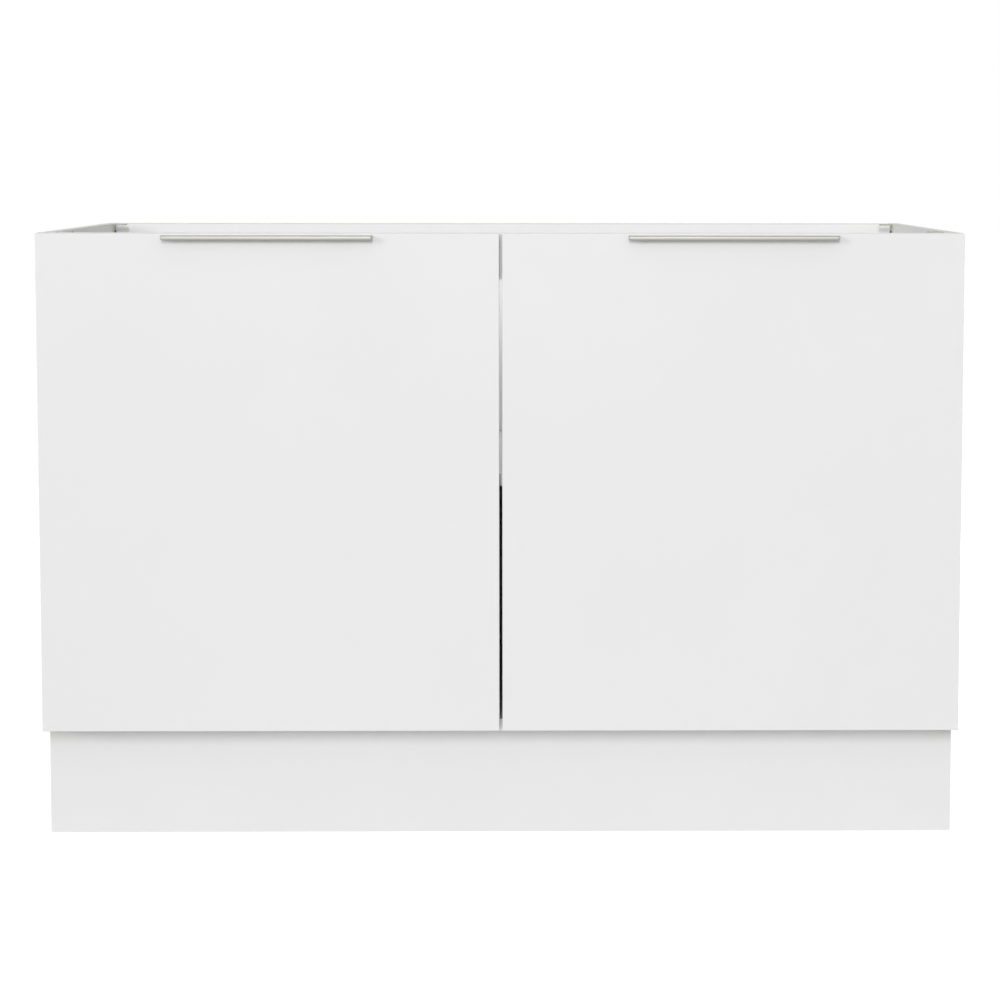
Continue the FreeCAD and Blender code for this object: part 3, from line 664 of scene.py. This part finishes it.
def rounded_outline(corners: np.ndarray, radii: np.ndarray, steps: int) -> np.ndarray:
    """A closed outline with an arc at each corner.

    At corner p with unit directions a and b to its neighbours, the arc's centre is
    p + (a + b) r / (|a x b|), and its points turn evenly from the one edge to the other.

    Args:
        corners: Points in order, one row each.
        radii: One radius for each corner.
        steps: Points on each arc.

    Returns:
        Points in order, one row each.
    """
    before, after = np.roll(corners, 1, 0) - corners, np.roll(corners, -1, 0) - corners
    before /= np.linalg.norm(before, axis=1, keepdims=True)
    after /= np.linalg.norm(after, axis=1, keepdims=True)
    sine = np.abs(before[:, 0] * after[:, 1] - before[:, 1] * after[:, 0])[:, None]
    centre = corners + (before + after) * radii[:, None] / sine
    cosine = (before * after).sum(1, keepdims=True)
    reach = radii[:, None] * (1.0 + cosine) / sine
    start, end = corners + before * reach - centre, corners + after * reach - centre
    share = np.linspace(0.0, 1.0, steps)[None, :, None]
    sweep = (np.pi - np.arccos(np.clip(cosine, -1, 1)))[:, :, None]
    arc = np.sin((1.0 - share) * sweep) * start[:, None] + np.sin(share * sweep) * end[:, None]
    return (centre[:, None] + arc / np.sin(sweep)).reshape(-1, 2)


@dataclass(frozen=True)
class CrossHead:
    """A screw or cam whose head has a cross recess. The head's seat lies at z = 0.

    In millimetres, the head has a radius and a height, the shank a radius and a length, and the cross a
    reach, a width and a depth.
    """

    head: Span
    shank: Span
    cross: Triple
    crown: float = 0.35
    softness: float = 0.12
    eye: float = 0.03
    columns: int = 48
    rows: int = 16

    def skin(self) -> Skin:
        """A turned screw with a crowned head and a cross sunk into it.

        The crown is z(r) = h (1 - c (r/R)^2). At x = r cos t and y = r sin t the cross lowers it by
        d * ramp(w - min(|x|, |y|)) * ramp(a - max(|x|, |y|)), where ramp runs from 0 to 1.

        Returns:
            The closed skin of one screw, pointing up.
        """
        (head_radius, head_height), (shank_radius, shank_length) = np.array((self.head, self.shank)) * MM
        arm, width, depth = np.array(self.cross) * MM
        turn = circle(self.columns)
        radius = head_radius * np.linspace(1.0, self.eye, self.rows)[:, None]
        x, y = radius * np.cos(turn), radius * np.sin(turn)
        near, far = np.minimum(np.abs(x), np.abs(y)), np.maximum(np.abs(x), np.abs(y))
        soft = self.softness * head_radius
        sunk = np.clip((width / 2 - near) / soft + 0.5, 0, 1) * np.clip((arm - far) / soft + 0.5, 0, 1)
        top = head_height * (1.0 - self.crown * (radius / head_radius) ** 2) - depth * sunk
        low = turned(np.array([-shank_length, 0.0, 0.0]),
                     np.array([shank_radius, shank_radius, head_radius]), self.columns)
        return Skin.over(np.concatenate([low, np.stack([x, y, top], -1)]))


@dataclass(frozen=True)
class Handle:
    """A slim pull with a rounded lip, a finger groove under it and eased ends.

    The rounding lists the radii of the section's corners in millimetres, from the upper front edge round. The
    ease_steps are places along an end, as shares of the ease.
    """

    length: float = 271.0 * MM
    front: float = -296.0 * MM
    back: float = -282.0 * MM
    top: float = 797.3 * MM
    height: float = 5.5 * MM
    lip: float = 3.0 * MM
    root: float = 5.0 * MM
    groove: float = 2.0 * MM
    rounding: tuple[float, ...] = (1.9, 1.3, 0.8, 0.9, 0.9, 0.4, 0.1, 0.3)
    arc_steps: int = 7
    axis_drop: float = 0.15
    ease: float = 0.9 * MM
    ease_draw: float = 0.14
    ease_steps: tuple[float, ...] = (0.0, 0.35, 1.0, 4.0)

    def profile(self) -> np.ndarray:
        """The section in Y and Z: a bar whose front edge is rounded, with a channel below.

        Returns:
            Points in order, one row each.
        """
        low, channel = self.top - self.height, self.top - self.height + self.groove
        corners = np.array([(self.front, self.top), (self.front, low), (self.front + self.lip, low),
                            (self.front + self.lip, channel), (self.back - self.root, channel),
                            (self.back - self.root, low), (self.back, low), (self.back, self.top)])
        return rounded_outline(corners, np.array(self.rounding) * MM, self.arc_steps)

    def skin(self, side: Side) -> Skin:
        """The section carried along X, drawn in towards its axis at both ends.

        Args:
            side: The door that it sits on.

        Returns:
            The closed skin of one handle.
        """
        outline = self.profile()
        middle = np.array([(self.front + self.back) / 2, self.top - self.axis_drop * self.height])
        centre, half = side.value * PULL_X, self.length / 2
        steps = self.ease * np.array(self.ease_steps)
        along = centre + np.concatenate([steps - half, half - steps[::-1]])
        drawn = 1.0 - self.ease_draw * np.append(EASED, 0.0)
        section = middle + (outline - middle) * np.concatenate([drawn, drawn[::-1]])[:, None, None]
        section[..., 0] = np.minimum(section[..., 0], self.back)
        first, last = (np.array([centre + reach, *middle]) for reach in (-half, half))
        return Skin.over(np.insert(section, 0, along[:, None], axis=2), first, last)

    def build(self) -> None:
        """Makes both handles."""
        for side in Side:
            self.skin(side).piece(f"{side.word}_handle_pull", HANDLE_METAL, f"{side.word}_door",
                                  f"{side.word}_handle")


@dataclass(frozen=True)
class Bumpers:
    """Soft dots on the backs of the doors."""

    x: float = 22.0 * MM
    levels: Span = (158.0 * MM, 791.5 * MM)
    radius: float = 4.0 * MM
    height: float = 1.5 * MM
    rim: float = 0.25
    power: float = 2.6
    eye: float = 0.05
    rows: int = 12
    columns: int = 36

    def build(self) -> None:
        """Makes the dots: domes z(s) = h (e + (1 - e) (1 - s^p)), r = R s, on a straight rim of share e."""
        share = np.linspace(1.0, self.eye, self.rows)
        dome = self.height * (self.rim + (1.0 - self.rim) * (1.0 - share ** self.power))
        dot = Skin.over(turned(np.append(0.0, dome), self.radius * np.append(1.0, share), self.columns))
        for side in Side:
            dot.at(grid((side.value * self.x,), (DOOR_BACK,), self.levels), Facing.REARWARD).piece(
                f"{side.word}_bumper_dots", PAD_CLEAR, f"{side.word}_door", f"{side.word}_door_bumpers")


@dataclass(frozen=True)
class Fasteners:
    """The screws and cams that show a head."""

    plate_x: float = 581.0 * MM
    plate_y: float = -227.0 * MM
    plate_spread: float = 16.0 * MM
    bracket_x: float = 582.0 * MM
    bracket_y: Span = (-197.0 * MM, 236.0 * MM)
    bracket_z: float = 786.8 * MM
    leg_spread: float = 22.0 * MM
    leg_seat: float = 142.0 * MM
    cup_x: float = 570.0 * MM
    cup_y: float = -265.0 * MM
    cup_spread: float = 24.0 * MM
    pull_spread: float = 96.0 * MM
    pull_y: float = -268.1 * MM
    pull_z: float = 795.55 * MM
    cam_x: float = 558.0 * MM
    front_cam_y: float = -260.0 * MM
    rear_cam_y: float = 277.0 * MM
    rail_cam_z: float = 758.0 * MM
    bottom_cam_y: Span = (-204.0 * MM, 206.0 * MM)
    bottom_cam_z: float = 158.0 * MM
    board_screw: CrossHead = CrossHead((3.6, 1.8), (2.0, 12.0), (1.9, 0.8, 1.1))
    pull_screw: CrossHead = CrossHead((3.0, 1.9), (1.5, 17.0), (1.7, 0.8, 1.1))
    cam: CrossHead = CrossHead((7.4, 11.9), (6.0, 0.05), (5.2, 1.9, 3.0), crown=0.03)

    def inward(self, x: float, ys: Sequence[float], zs: Sequence[float]) -> Skin:
        """Board screws whose heads point inward from both sides.

        Args:
            x: How far from the middle the heads are seated.
            ys: Their places along the depth.
            zs: Their heights.

        Returns:
            All of them as one skin.
        """
        screw, ways = self.board_screw.skin(), (Facing.INWARD_FROM_LEFT, Facing.INWARD_FROM_RIGHT)
        return Skin.together([screw.at(grid((side.value * x,), ys, zs), way)
                              for side, way in zip(Side, ways)])

    def build(self) -> None:
        """Makes every group of screws, each in place of its CAD node."""
        levels = HINGE_LEVELS.values()
        self.inward(self.plate_x, (self.plate_y,), about(levels, self.plate_spread)).piece(
            "hinge_plate_screw_heads", SCREW_ZINC, "carcass", "hinge_plate_screws")
        self.inward(self.bracket_x, self.bracket_y, (self.bracket_z,)).piece(
            "bracket_screw_heads", SCREW_BLACK, "carcass", "bracket_screws")
        screw, pull = self.board_screw.skin(), self.pull_screw.skin()
        leg_x, leg_y = (about(row.values(), self.leg_spread) for row in (LEG_X, LEG_Y))
        screw.at(grid(leg_x, leg_y, (self.leg_seat,)), Facing.DOWNWARD).piece(
            "leg_screw_heads", SCREW_ZINC, "carcass", "leg_screws")
        for side in Side:
            word, way = side.word, side.value
            cups = grid((way * self.cup_x,), (self.cup_y,), about(levels, self.cup_spread))
            screw.at(cups, Facing.REARWARD).piece(
                f"{word}_cup_screw_heads", SCREW_ZINC, f"{word}_door", f"{word}_hinge_cup_screws")
            pulls = grid(about((way * PULL_X,), self.pull_spread), (self.pull_y,), (self.pull_z,))
            pull.at(pulls, Facing.REARWARD).piece(
                f"{word}_pull_screw_heads", SCREW_ZINC, f"{word}_door", f"{word}_handle_screws")
        self.build_cams()

    def build_cams(self) -> None:
        """Makes the cam discs of the rails and of the bottom board."""
        cam, ends = self.cam.skin(), (-self.cam_x, self.cam_x)
        Skin.together([
            cam.at(grid(ends, (self.front_cam_y,), (self.rail_cam_z,)), Facing.REARWARD),
            cam.at(grid(ends, (self.rear_cam_y,), (self.rail_cam_z,)), Facing.FORWARD),
            cam.at(grid(ends, self.bottom_cam_y, (self.bottom_cam_z,)), Facing.DOWNWARD),
        ]).piece("cam_faces", SCREW_ZINC, "carcass", "cam_discs")


@dataclass(frozen=True)
class HingeArm:
    """The pressed arm of a concealed hinge and the flat tongue that it carries.

    Sizes in plan run inward from the outer face of the side and back from the carcass front.
    """

    seat: float = 19.0 * MM
    height: float = 9.0 * MM
    half: float = 8.0 * MM
    start: float = 18.0 * MM
    end: float = 62.0 * MM
    top_round: float = 2.4 * MM
    foot_round: float = 0.3 * MM
    arc_steps: int = 8
    stations: int = 40
    nose_width: float = 0.72
    nose_run: float = 6.0
    tail_height: float = 0.7
    tail_run: float = 4.0
    end_run: float = 0.03
    end_draw: float = 0.12
    root: Span = (23.5 * MM, 20.6 * MM)
    arm_pivot: Span = (34.0 * MM, 9.0 * MM)
    nose_pivot: Span = (36.0 * MM, -8.6 * MM)
    tongue_half: float = 1.45 * MM
    tongue_reach: float = 2.6 * MM
    tongue_ease: float = 0.4 * MM
    tongue_columns: int = 48
    screw_spots: tuple[Triple, ...] = ((27.0 * MM, 29.0 * MM, 0.0), (26.7 * MM, 53.0 * MM, 0.0))
    screw: CrossHead = CrossHead((2.9, 1.4), (1.6, 3.0), (1.9, 0.8, 0.9))

    def base(self) -> Skin:
        """The pressed base: a rounded section carried back along Y.

        With s from 0 to 1 along the arm and rise(t) = t^2 (3 - 2 t), its width grows from the nose's share
        by rise(n s), its height falls to the tail's share by rise(1 - m (1 - s)), and both are drawn in at
        the ends.

        Returns:
            The closed skin of the base at hinge level zero.
        """
        corners = np.array([(0.0, -self.half), (0.0, self.half), (self.height, self.half),
                            (self.height, -self.half)])
        outline = rounded_outline(corners, np.repeat([self.foot_round, self.top_round], 2), self.arc_steps)
        run = self.end_run
        inner = np.linspace(run, 1.0 - run, self.stations)
        share = np.concatenate([[0.0, run / 3], inner, [1.0 - run / 3, 1.0]])
        drawn = 1.0 - self.end_draw * np.clip(1.0 - np.minimum(share, 1.0 - share) / run, 0.0, 1.0) ** 2
        wide = (self.nose_width + (1.0 - self.nose_width) * rise(self.nose_run * share)) * drawn
        tall = (1.0 - (1.0 - self.tail_height) * rise(1.0 - self.tail_run * (1.0 - share))) * drawn
        section = outline * np.stack([tall, wide], -1)[:, None] + (self.seat, 0.0)
        back = self.start + share * (self.end - self.start)
        return Skin.over(np.insert(section, 1, back[:, None], axis=2))

    def bar(self, start: Span, end: Span) -> Skin:
        """A flat bar with round ends between two pivots, its edges eased.

        The outline is end + r (cos t, sin t) over the half turn ahead of it, then start + r (cos t, sin t).

        Args:
            start: The first pivot, inward and back.
            end: The second pivot.

        Returns:
            The closed skin of the bar at hinge level zero.
        """
        along = math.atan2(end[1] - start[1], end[0] - start[0])
        turn = (along - np.pi / 2 + circle(self.tongue_columns)).reshape(2, -1)
        ease = self.tongue_ease * EASED
        reach = self.tongue_reach - np.concatenate([ease, ease[::-1]])
        level = np.concatenate([ease[::-1] - self.tongue_half, self.tongue_half - ease])
        arcs = np.stack([np.cos(turn), np.sin(turn)], -1) * reach[:, None, None, None]
        plan = (np.array([end, start])[:, None] + arcs).reshape(len(reach), -1, 2)
        return Skin.over(np.insert(plan, 2, level[:, None], axis=2))

    def skin(self) -> Skin:
        """The base, the bent tongue and the heads of the two adjusting screws."""
        heads = self.screw.skin().at(np.array(self.screw_spots), Facing.INWARD_FROM_LEFT)
        return Skin.together([self.base(), self.bar(self.root, self.arm_pivot),
                              self.bar(self.arm_pivot, self.nose_pivot), heads])


@dataclass(frozen=True)
class HingeCup:
    """The pressed cup that is let into the door, with an ear above and below its mouth.

    Each arc of its rim runs from one angle to another, in degrees, and has a number of points.
    """

    centre: float = 24.0 * MM
    mouth: float = -2.0 * MM
    radius: float = 17.4 * MM
    wall: float = 0.8 * MM
    depth: float = 11.8 * MM
    rim: float = 0.3 * MM
    rim_thickness: float = 0.4 * MM
    ear_thickness: float = 1.0 * MM
    ear_inner: float = 14.5 * MM
    ear_outer: float = 2.5 * MM
    ear_half: float = 31.0 * MM
    corner_power: float = 12.0
    ear_rise: float = 4.0 * MM
    ease: float = 0.3 * MM
    turn_in: float = 1.2 * MM
    arcs: tuple[tuple[float, float, int], ...] = (
        (-50.0, 50.0, 40), (50.0, 102.0, 64), (102.0, 258.0, 48), (258.0, 310.0, 64))

    def skin(self) -> Skin:
        """Rings about the cup's axis, from its floor up the outside, over the flange and down the inside.

        The ear reaches e(t) = (|cos t / a|^p + |sin t / b|^p)^(-1/p), with a wider a on the inner half. The
        flange reaches max(R + rim, e), and it thickens from rim to ear as e grows past R.

        Returns:
            The closed skin of the cup at hinge level zero.
        """
        turn = np.radians(np.concatenate([np.linspace(*arc, endpoint=False) for arc in self.arcs]))
        ear_side = np.where(np.cos(turn) > 0, self.ear_inner, self.ear_outer)
        power = self.corner_power
        ear = np.abs(np.cos(turn) / ear_side) ** power + np.abs(np.sin(turn) / self.ear_half) ** power
        ear = ear ** (-1.0 / power)
        flange = np.maximum(self.radius + self.rim, ear)
        grown = rise((ear - self.radius) / self.ear_rise)
        top = self.rim_thickness + (self.ear_thickness - self.rim_thickness) * grown
        inside, floor, curl = self.radius - self.wall, self.wall - self.depth, self.turn_in * EASED
        rows = [*zip(self.radius - curl, curl[::-1] - self.depth), (self.radius, 0.0), (flange, 0.0),
                (flange, top - self.ease), (flange - self.ease, top), (inside + self.ease, top),
                (inside, top - self.ease), *zip(inside - curl[::-1], floor + curl)]
        reach, rear = (np.array([np.broadcast_to(row[k], turn.shape) for row in rows]) for k in range(2))
        across, level = self.centre + reach * np.cos(turn), reach * np.sin(turn)
        return Skin.over(np.stack([across, self.mouth + rear, level], -1))


@dataclass(frozen=True)
class HingePlate:
    """The mounting plate that is screwed to the side, with rounded corners and eased edges."""

    seat: float = 16.0 * MM
    thickness: float = 3.0 * MM
    start: float = 24.0 * MM
    length: float = 26.0 * MM
    half: float = 22.0 * MM
    corner: float = 4.0 * MM
    ease: float = 0.5 * MM
    arc_steps: int = 8

    def skin(self) -> Skin:
        """A rounded rectangle carried inward, its outline set in by the ease at the top.

        Returns:
            The closed skin of the plate at hinge level zero.
        """
        ease = self.ease * EASED
        inward = self.seat + np.append(0.0, self.thickness - ease)
        reach = self.length / 2
        signs = np.array([(-1.0, -1.0), (1.0, -1.0), (1.0, 1.0), (-1.0, 1.0)])
        outlines = np.array([
            rounded_outline(signs * (reach - inset, self.half - inset) + (self.start + reach, 0.0),
                            np.full(len(signs), self.corner - inset), self.arc_steps)
            for inset in np.append(0.0, ease[::-1])])
        return Skin.over(np.insert(outlines, 0, inward[:, None], axis=2))


@dataclass(frozen=True)
class Hinges:
    """The four concealed hinges: arms and plates on the carcass, cups in the doors."""

    outer: float = -600.0 * MM
    arm: HingeArm = HingeArm()
    plate: HingePlate = HingePlate()
    cup: HingeCup = HingeCup()

    def build(self) -> None:
        """Makes the pressings of each hinge on the left and mirrors them to the right."""
        for kind, skin, body in (("arm", self.arm.skin(), "carcass"), ("plate", self.plate.skin(), "carcass"),
                                 ("cup", self.cup.skin(), "{}_door")):
            for level, height in HINGE_LEVELS.items():
                left = skin.at(np.array([(self.outer, CARCASS_FRONT, height)]))
                for side, pressing in zip(Side, (left, left.mirrored())):
                    pressing.piece(f"{side.word}_{level}_{kind}_pressing", HINGE_NICKEL,
                                   body.format(side.word), f"{side.word}_{level}_hinge_{kind}")


@dataclass(frozen=True)
class Legs:
    """Plastic levelling legs: a square flange, a ribbed collar, a fluted sleeve and a screw-in foot.

    A row of the sleeve has a height, a radius, a squareness, a rib share and a flute share, and a row of the
    foot a height, a radius and a notch share. The stem's rows have a first and a last height and a step.
    Heights and radii in rows, stem, thread_end and tip are in millimetres.
    """

    corner_power: float = 14.0
    ribs: int = 4
    rib_reach: float = 7.0 * MM
    rib_power: int = 24
    flutes: int = 16
    flute_depth: float = 0.7 * MM
    sleeve_columns: int = 128
    sleeve_rows: tuple[tuple[float, ...], ...] = (
        (146.0, 29.4, 1, 0, 0), (145.6, 30.0, 1, 0, 0), (142.5, 30.0, 1, 0, 0), (142.0, 29.5, 1, 0, 0),
        (142.0, 22.0, 0, 1, 0), (138.0, 20.6, 0, 0.75, 0), (134.0, 18.8, 0, 0.5, 0),
        (130.0, 17.2, 0, 0.22, 0), (127.0, 16.2, 0, 0, 0), (124.0, 16.0, 0, 0, 0), (121.0, 16.0, 0, 0, 1),
        (104.0, 16.0, 0, 0, 1), (101.0, 16.0, 0, 0, 0), (70.0, 16.0, 0, 0, 0), (67.0, 16.0, 0, 0, 1),
        (45.0, 16.0, 0, 0, 1), (42.0, 16.0, 0, 0, 0), (34.8, 16.0, 0, 0, 0), (34.0, 15.2, 0, 0, 0),
        (34.0, 9.2, 0, 0, 0), (34.7, 8.5, 0, 0, 0), (113.0, 8.5, 0, 0, 0))
    notches: int = 32
    notch_depth: float = 0.9 * MM
    foot_columns: int = 96
    foot_rows: tuple[Triple, ...] = (
        (0.0, 22.6, 0), (0.7, 23.6, 0.6), (1.2, 24.0, 1), (5.2, 24.0, 1), (5.8, 23.4, 0.6), (6.3, 22.4, 0),
        (10.0, 17.6, 0), (13.5, 12.6, 0), (14.5, 12.0, 0), (29.2, 12.0, 0), (30.0, 11.3, 0), (30.0, 8.2, 0))
    stem: Triple = (31.0, 93.4, 0.5)
    stem_radius: float = 8.2 * MM
    pitch: float = 3.0 * MM
    thread_depth: float = 0.7 * MM
    thread_end: float = 93.0
    tip: Span = (94.0, 7.2)

    def sleeve(self) -> Skin:
        """One sleeve, from the top of its flange to the end of its bore.

        With a row's radius r, squareness q, rib share b and flute share f, r(t) =
        r [(1 - q) + q / (|cos t|^p + |sin t|^p)^(1/p)] + b c max(0, cos 4t)^24 - f d (1 - cos n t) / 2.

        Returns:
            The closed skin of one sleeve at the origin.
        """
        turn, power = circle(self.sleeve_columns), self.corner_power
        height, radius, square, rib, flute = np.array(self.sleeve_rows).T[:, :, None]
        box = 1.0 / (np.abs(np.cos(turn)) ** power + np.abs(np.sin(turn)) ** power) ** (1.0 / power)
        reach = radius * MM * ((1.0 - square) + square * box)
        reach = reach + rib * self.rib_reach * np.clip(np.cos(self.ribs * turn), 0, 1) ** self.rib_power
        reach = reach - flute * self.flute_depth * (1.0 - np.cos(self.flutes * turn)) / 2
        return Skin.over(turned(height * MM, reach, self.sleeve_columns))

    def foot(self) -> Skin:
        """One foot: a notched disc, a cone, a neck and a threaded stem.

        The rim is r(t) = R - d (1 - cos n t) / 2, and the thread r(z, t) = r - h |2 frac(z/p - t/2pi) - 1|,
        which fades out over one pitch at its end.

        Returns:
            The closed skin of one foot at the origin.
        """
        turn = circle(self.foot_columns)
        low_z, low_radius, notch = np.array(self.foot_rows).T[:, :, None]
        low = low_radius * MM - notch * self.notch_depth * (1.0 - np.cos(self.notches * turn)) / 2
        stem_z = np.arange(*self.stem)[:, None] * MM
        phase = np.mod(stem_z / self.pitch - turn / (2.0 * np.pi), 1.0)
        fade = np.clip((self.thread_end * MM - stem_z) / self.pitch, 0, 1)
        stem = self.stem_radius - self.thread_depth * np.abs(2.0 * phase - 1.0) * fade
        tip_z, tip_radius = np.array(self.tip)[:, None, None] * MM
        heights = np.concatenate([low_z * MM, stem_z, tip_z])
        radii = np.concatenate([low, stem, tip_radius * np.ones((1, self.foot_columns))])
        return Skin.over(turned(heights, radii, self.foot_columns))

    def build(self) -> None:
        """Makes the six sleeves as one piece and each foot as its own."""
        spots = {f"{row}_{column}": (x, y, 0.0) for row, y in LEG_Y.items() for column, x in LEG_X.items()}
        self.sleeve().at(np.array(list(spots.values()))).piece(
            "leg_sleeve_set", LEG_BLACK, "carcass", "leg_sleeves")
        foot = self.foot()
        for name, spot in spots.items():
            foot.at(np.array([spot])).piece(f"leveller_{name}", LEG_BLACK, f"foot_{name}", f"foot_{name}")


@dataclass(frozen=True)
class Boards:
    """The CAD boards and small fittings that keep their shape, and what each is dressed in."""

    dressed: tuple[tuple[Finish, tuple[str, ...]], ...] = (
        (DOOR_WHITE, ("left_door", "right_door")),
        (PLINTH_WHITE, ("plinth_board",)),
        (SIDE_BOARD, ("left_side_panel", "right_side_panel")),
        (RAIL_BOARD, ("rear_rail",)),
        (FRONT_RAIL_BOARD, ("front_rail",)),
        (FLAT_BOARD, ("bottom_panel", "shelf")),
        (BACK_SHEET, ("back_panel",)),
        (DOWEL_BEECH, ("dowels",)),
        (SCREW_ZINC, ("cam_bolts",)),
        (BRACKET_COAT, ("worktop_brackets",)),
        (LEG_BLACK, ("plinth_clips",)),
        (HINGE_NICKEL, ("shelf_pins", "hinge_arm_pins", "left_hinge_cup_pins", "right_hinge_cup_pins")),
        (HINGE_NICKEL, tuple(f"{side.word}_{level}_hinge_{kind}_link" for side in Side
                             for level in HINGE_LEVELS for kind in ("long", "short"))))

    def build(self, nodes: dict[str, bpy.types.Object]) -> None:
        """Dresses the CAD nodes.

        Args:
            nodes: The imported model's objects by name.
        """
        for finish, names in self.dressed:
            for name in names:
                finish.dress(nodes[name])
                LOG.info("node %s: %s", name, finish.name)


@dataclass(frozen=True)
class Light:
    """A light of the studio."""

    name: str

    def hang(self, kind: str, place: Vector, way: Vector) -> bpy.types.Object:
        """Hangs a light.

        Args:
            kind: Blender's name for the kind of light.
            place: Where it hangs.
            way: The direction that it shines in.

        Returns:
            The light's object.
        """
        made = stand(self.name, bpy.data.lights.new(self.name, kind))
        made.location = place
        made.rotation_mode = "QUATERNION"
        made.rotation_quaternion = way.to_track_quat("-Z", "Y")
        return made


@dataclass(frozen=True)
class FarLamp(Light):
    """A far soft light, by the way it comes from, its width in the sky and its strength."""

    turn: float
    lift: float
    width: float
    strength: float
    distance: float = 5.0

    def build(self) -> None:
        """Hangs the lamp so that it shines from turn degrees right of the front and lift above the floor."""
        turn, lift = math.radians(self.turn), math.radians(self.lift)
        way = Vector((math.sin(turn) * math.cos(lift), -math.cos(turn) * math.cos(lift), math.sin(lift)))
        data = self.hang("SUN", way * self.distance, -way).data
        data.energy, data.angle = self.strength, math.radians(self.width)


@dataclass(frozen=True)
class Softbox(Light):
    """A soft light of a given width and height that stands round the object."""

    place: Triple
    aim: Triple
    size: Span
    power: float

    def build(self) -> None:
        """Stands the softbox at its place and turns it to its aim."""
        made = self.hang("AREA", Vector(self.place), Vector(self.aim) - Vector(self.place))
        made.data.shape, made.data.energy = "RECTANGLE", self.power
        made.data.size, made.data.size_y = self.size
        made.visible_camera = False


@dataclass(frozen=True)
class Studio:
    """A pale floor, soft light from the upper left front, and the camera."""

    ambient: float = 0.49
    frontal: float = 0.8
    floor_half: float = 30.0
    floor_colour: Colour = grey(0.55)
    floor_glow: float = 0.74
    lights: tuple[FarLamp | Softbox, ...] = (
        FarLamp("key", -48.0, 13.9, 16.0, 0.62),
        Softbox("front_strip", (-0.42, -12.0, 4.6), (0.0, -0.28, 0.45), (0.6, 3.4), 468.0),
        Softbox("left_box", (-2.6, 0.1, 0.42), (-0.6, 0.1, 0.42), (0.7, 0.7), 10.0),
        Softbox("right_box", (2.6, 0.1, 0.42), (0.6, 0.1, 0.42), (0.7, 0.7), 10.0),
        Softbox("rear_box", (0.0, 2.8, 0.42), (0.0, 0.3, 0.42), (0.7, 0.7), 22.0))
    camera_place: Triple = (0.02769, -3.39168, 0.88435)
    camera_turns: Triple = (0.5677, -4.5551, 0.041)
    lens: float = 86.9418
    sensor: float = 36.0
    shift: Span = (-0.046, -0.14)

    def seen(self, graph: Graph) -> Socket:
        """Tells rays that look from rays that only light.

        Args:
            graph: The tree to add to.

        Returns:
            1 for rays that look, reflect or pass through, and 0 for the others.
        """
        path = graph.add("ShaderNodeLightPath").outputs
        either = graph.math("MAXIMUM", path["Is Camera Ray"], path["Is Glossy Ray"])
        return graph.math("MAXIMUM", either, path["Is Transmission Ray"])

    def world(self) -> None:
        """White where it is seen, and a weaker light on the object, a (1 - f y) in direction y."""
        world = bpy.data.worlds.new("studio_white")
        bpy.context.scene.world = world
        graph = Graph(world)
        lean = self.ambient * self.frontal
        ends = (self.ambient + lean, self.ambient - lean)
        light = graph.spread(graph.parts("Generated")["Y"], (-1.0, 1.0), ends)
        seen = self.seen(graph)
        dim = graph.math("MULTIPLY", light, graph.math("SUBTRACT", 1.0, seen))
        sockets = {"Color": WHITE, "Strength": graph.math("ADD", dim, seen)}
        graph.end("ShaderNodeOutputWorld", graph.add("ShaderNodeBackground", sockets))

    def floor(self) -> None:
        """A wide pale floor that looks white and keeps the object's shadow."""
        corners = self.floor_half * np.array([(-1, -1, 0), (1, -1, 0), (1, 1, 0), (-1, 1, 0)])
        mesh = bpy.data.meshes.new("floor")
        mesh.from_pydata(corners.tolist(), [], [(0, 1, 2, 3)])
        made = stand("floor", mesh)
        graph = Graph(bpy.data.materials.new("floor_pale"))
        matt = graph.add("ShaderNodeBsdfDiffuse", {"Color": shade(self.floor_colour)}).outputs[0]
        glow = graph.add("ShaderNodeEmission", {"Color": WHITE, "Strength": self.floor_glow}).outputs[0]
        both = graph.add("ShaderNodeAddShader", {0: matt, 1: glow}).outputs[0]
        pick = graph.add("ShaderNodeMixShader", {0: self.seen(graph), 1: matt, 2: both})
        graph.end("ShaderNodeOutputMaterial", pick)
        mesh.materials.append(graph.owner)

    def camera(self) -> None:
        """The camera at the photograph's place, turned by yaw, pitch and roll."""
        yaw, pitch, roll = (math.radians(turn) for turn in self.camera_turns)
        ahead = Vector((math.sin(yaw) * math.cos(pitch), math.cos(yaw) * math.cos(pitch), math.sin(pitch)))
        level = Vector((math.cos(yaw), -math.sin(yaw), 0.0))
        over = level.cross(ahead)
        right = level * math.cos(roll) + over * math.sin(roll)
        up = over * math.cos(roll) - level * math.sin(roll)
        data = bpy.data.cameras.new("camera")
        data.lens, data.sensor_width = self.lens, self.sensor
        data.shift_x, data.shift_y = self.shift
        made = stand("camera", data)
        turn = Matrix((right, up, -ahead)).transposed().to_4x4()
        made.matrix_world = Matrix.Translation(Vector(self.camera_place)) @ turn
        bpy.context.scene.camera = made

    def build(self) -> None:
        """Sets the stage."""
        bpy.context.scene.view_settings.view_transform = "Standard"
        self.world()
        self.floor()
        for light in self.lights:
            light.build()
        self.camera()


def main() -> None:
    """Loads the frame, dresses it, adds the detailed pieces and sets the stage."""
    logging.basicConfig(level=logging.INFO, format="%(message)s")
    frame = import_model()
    Boards().build(frame["nodes"])
    Handle().build()
    Bumpers().build()
    Fasteners().build()
    Hinges().build()
    Legs().build()
    Studio().build()


if __name__ == "__main__":
    main()
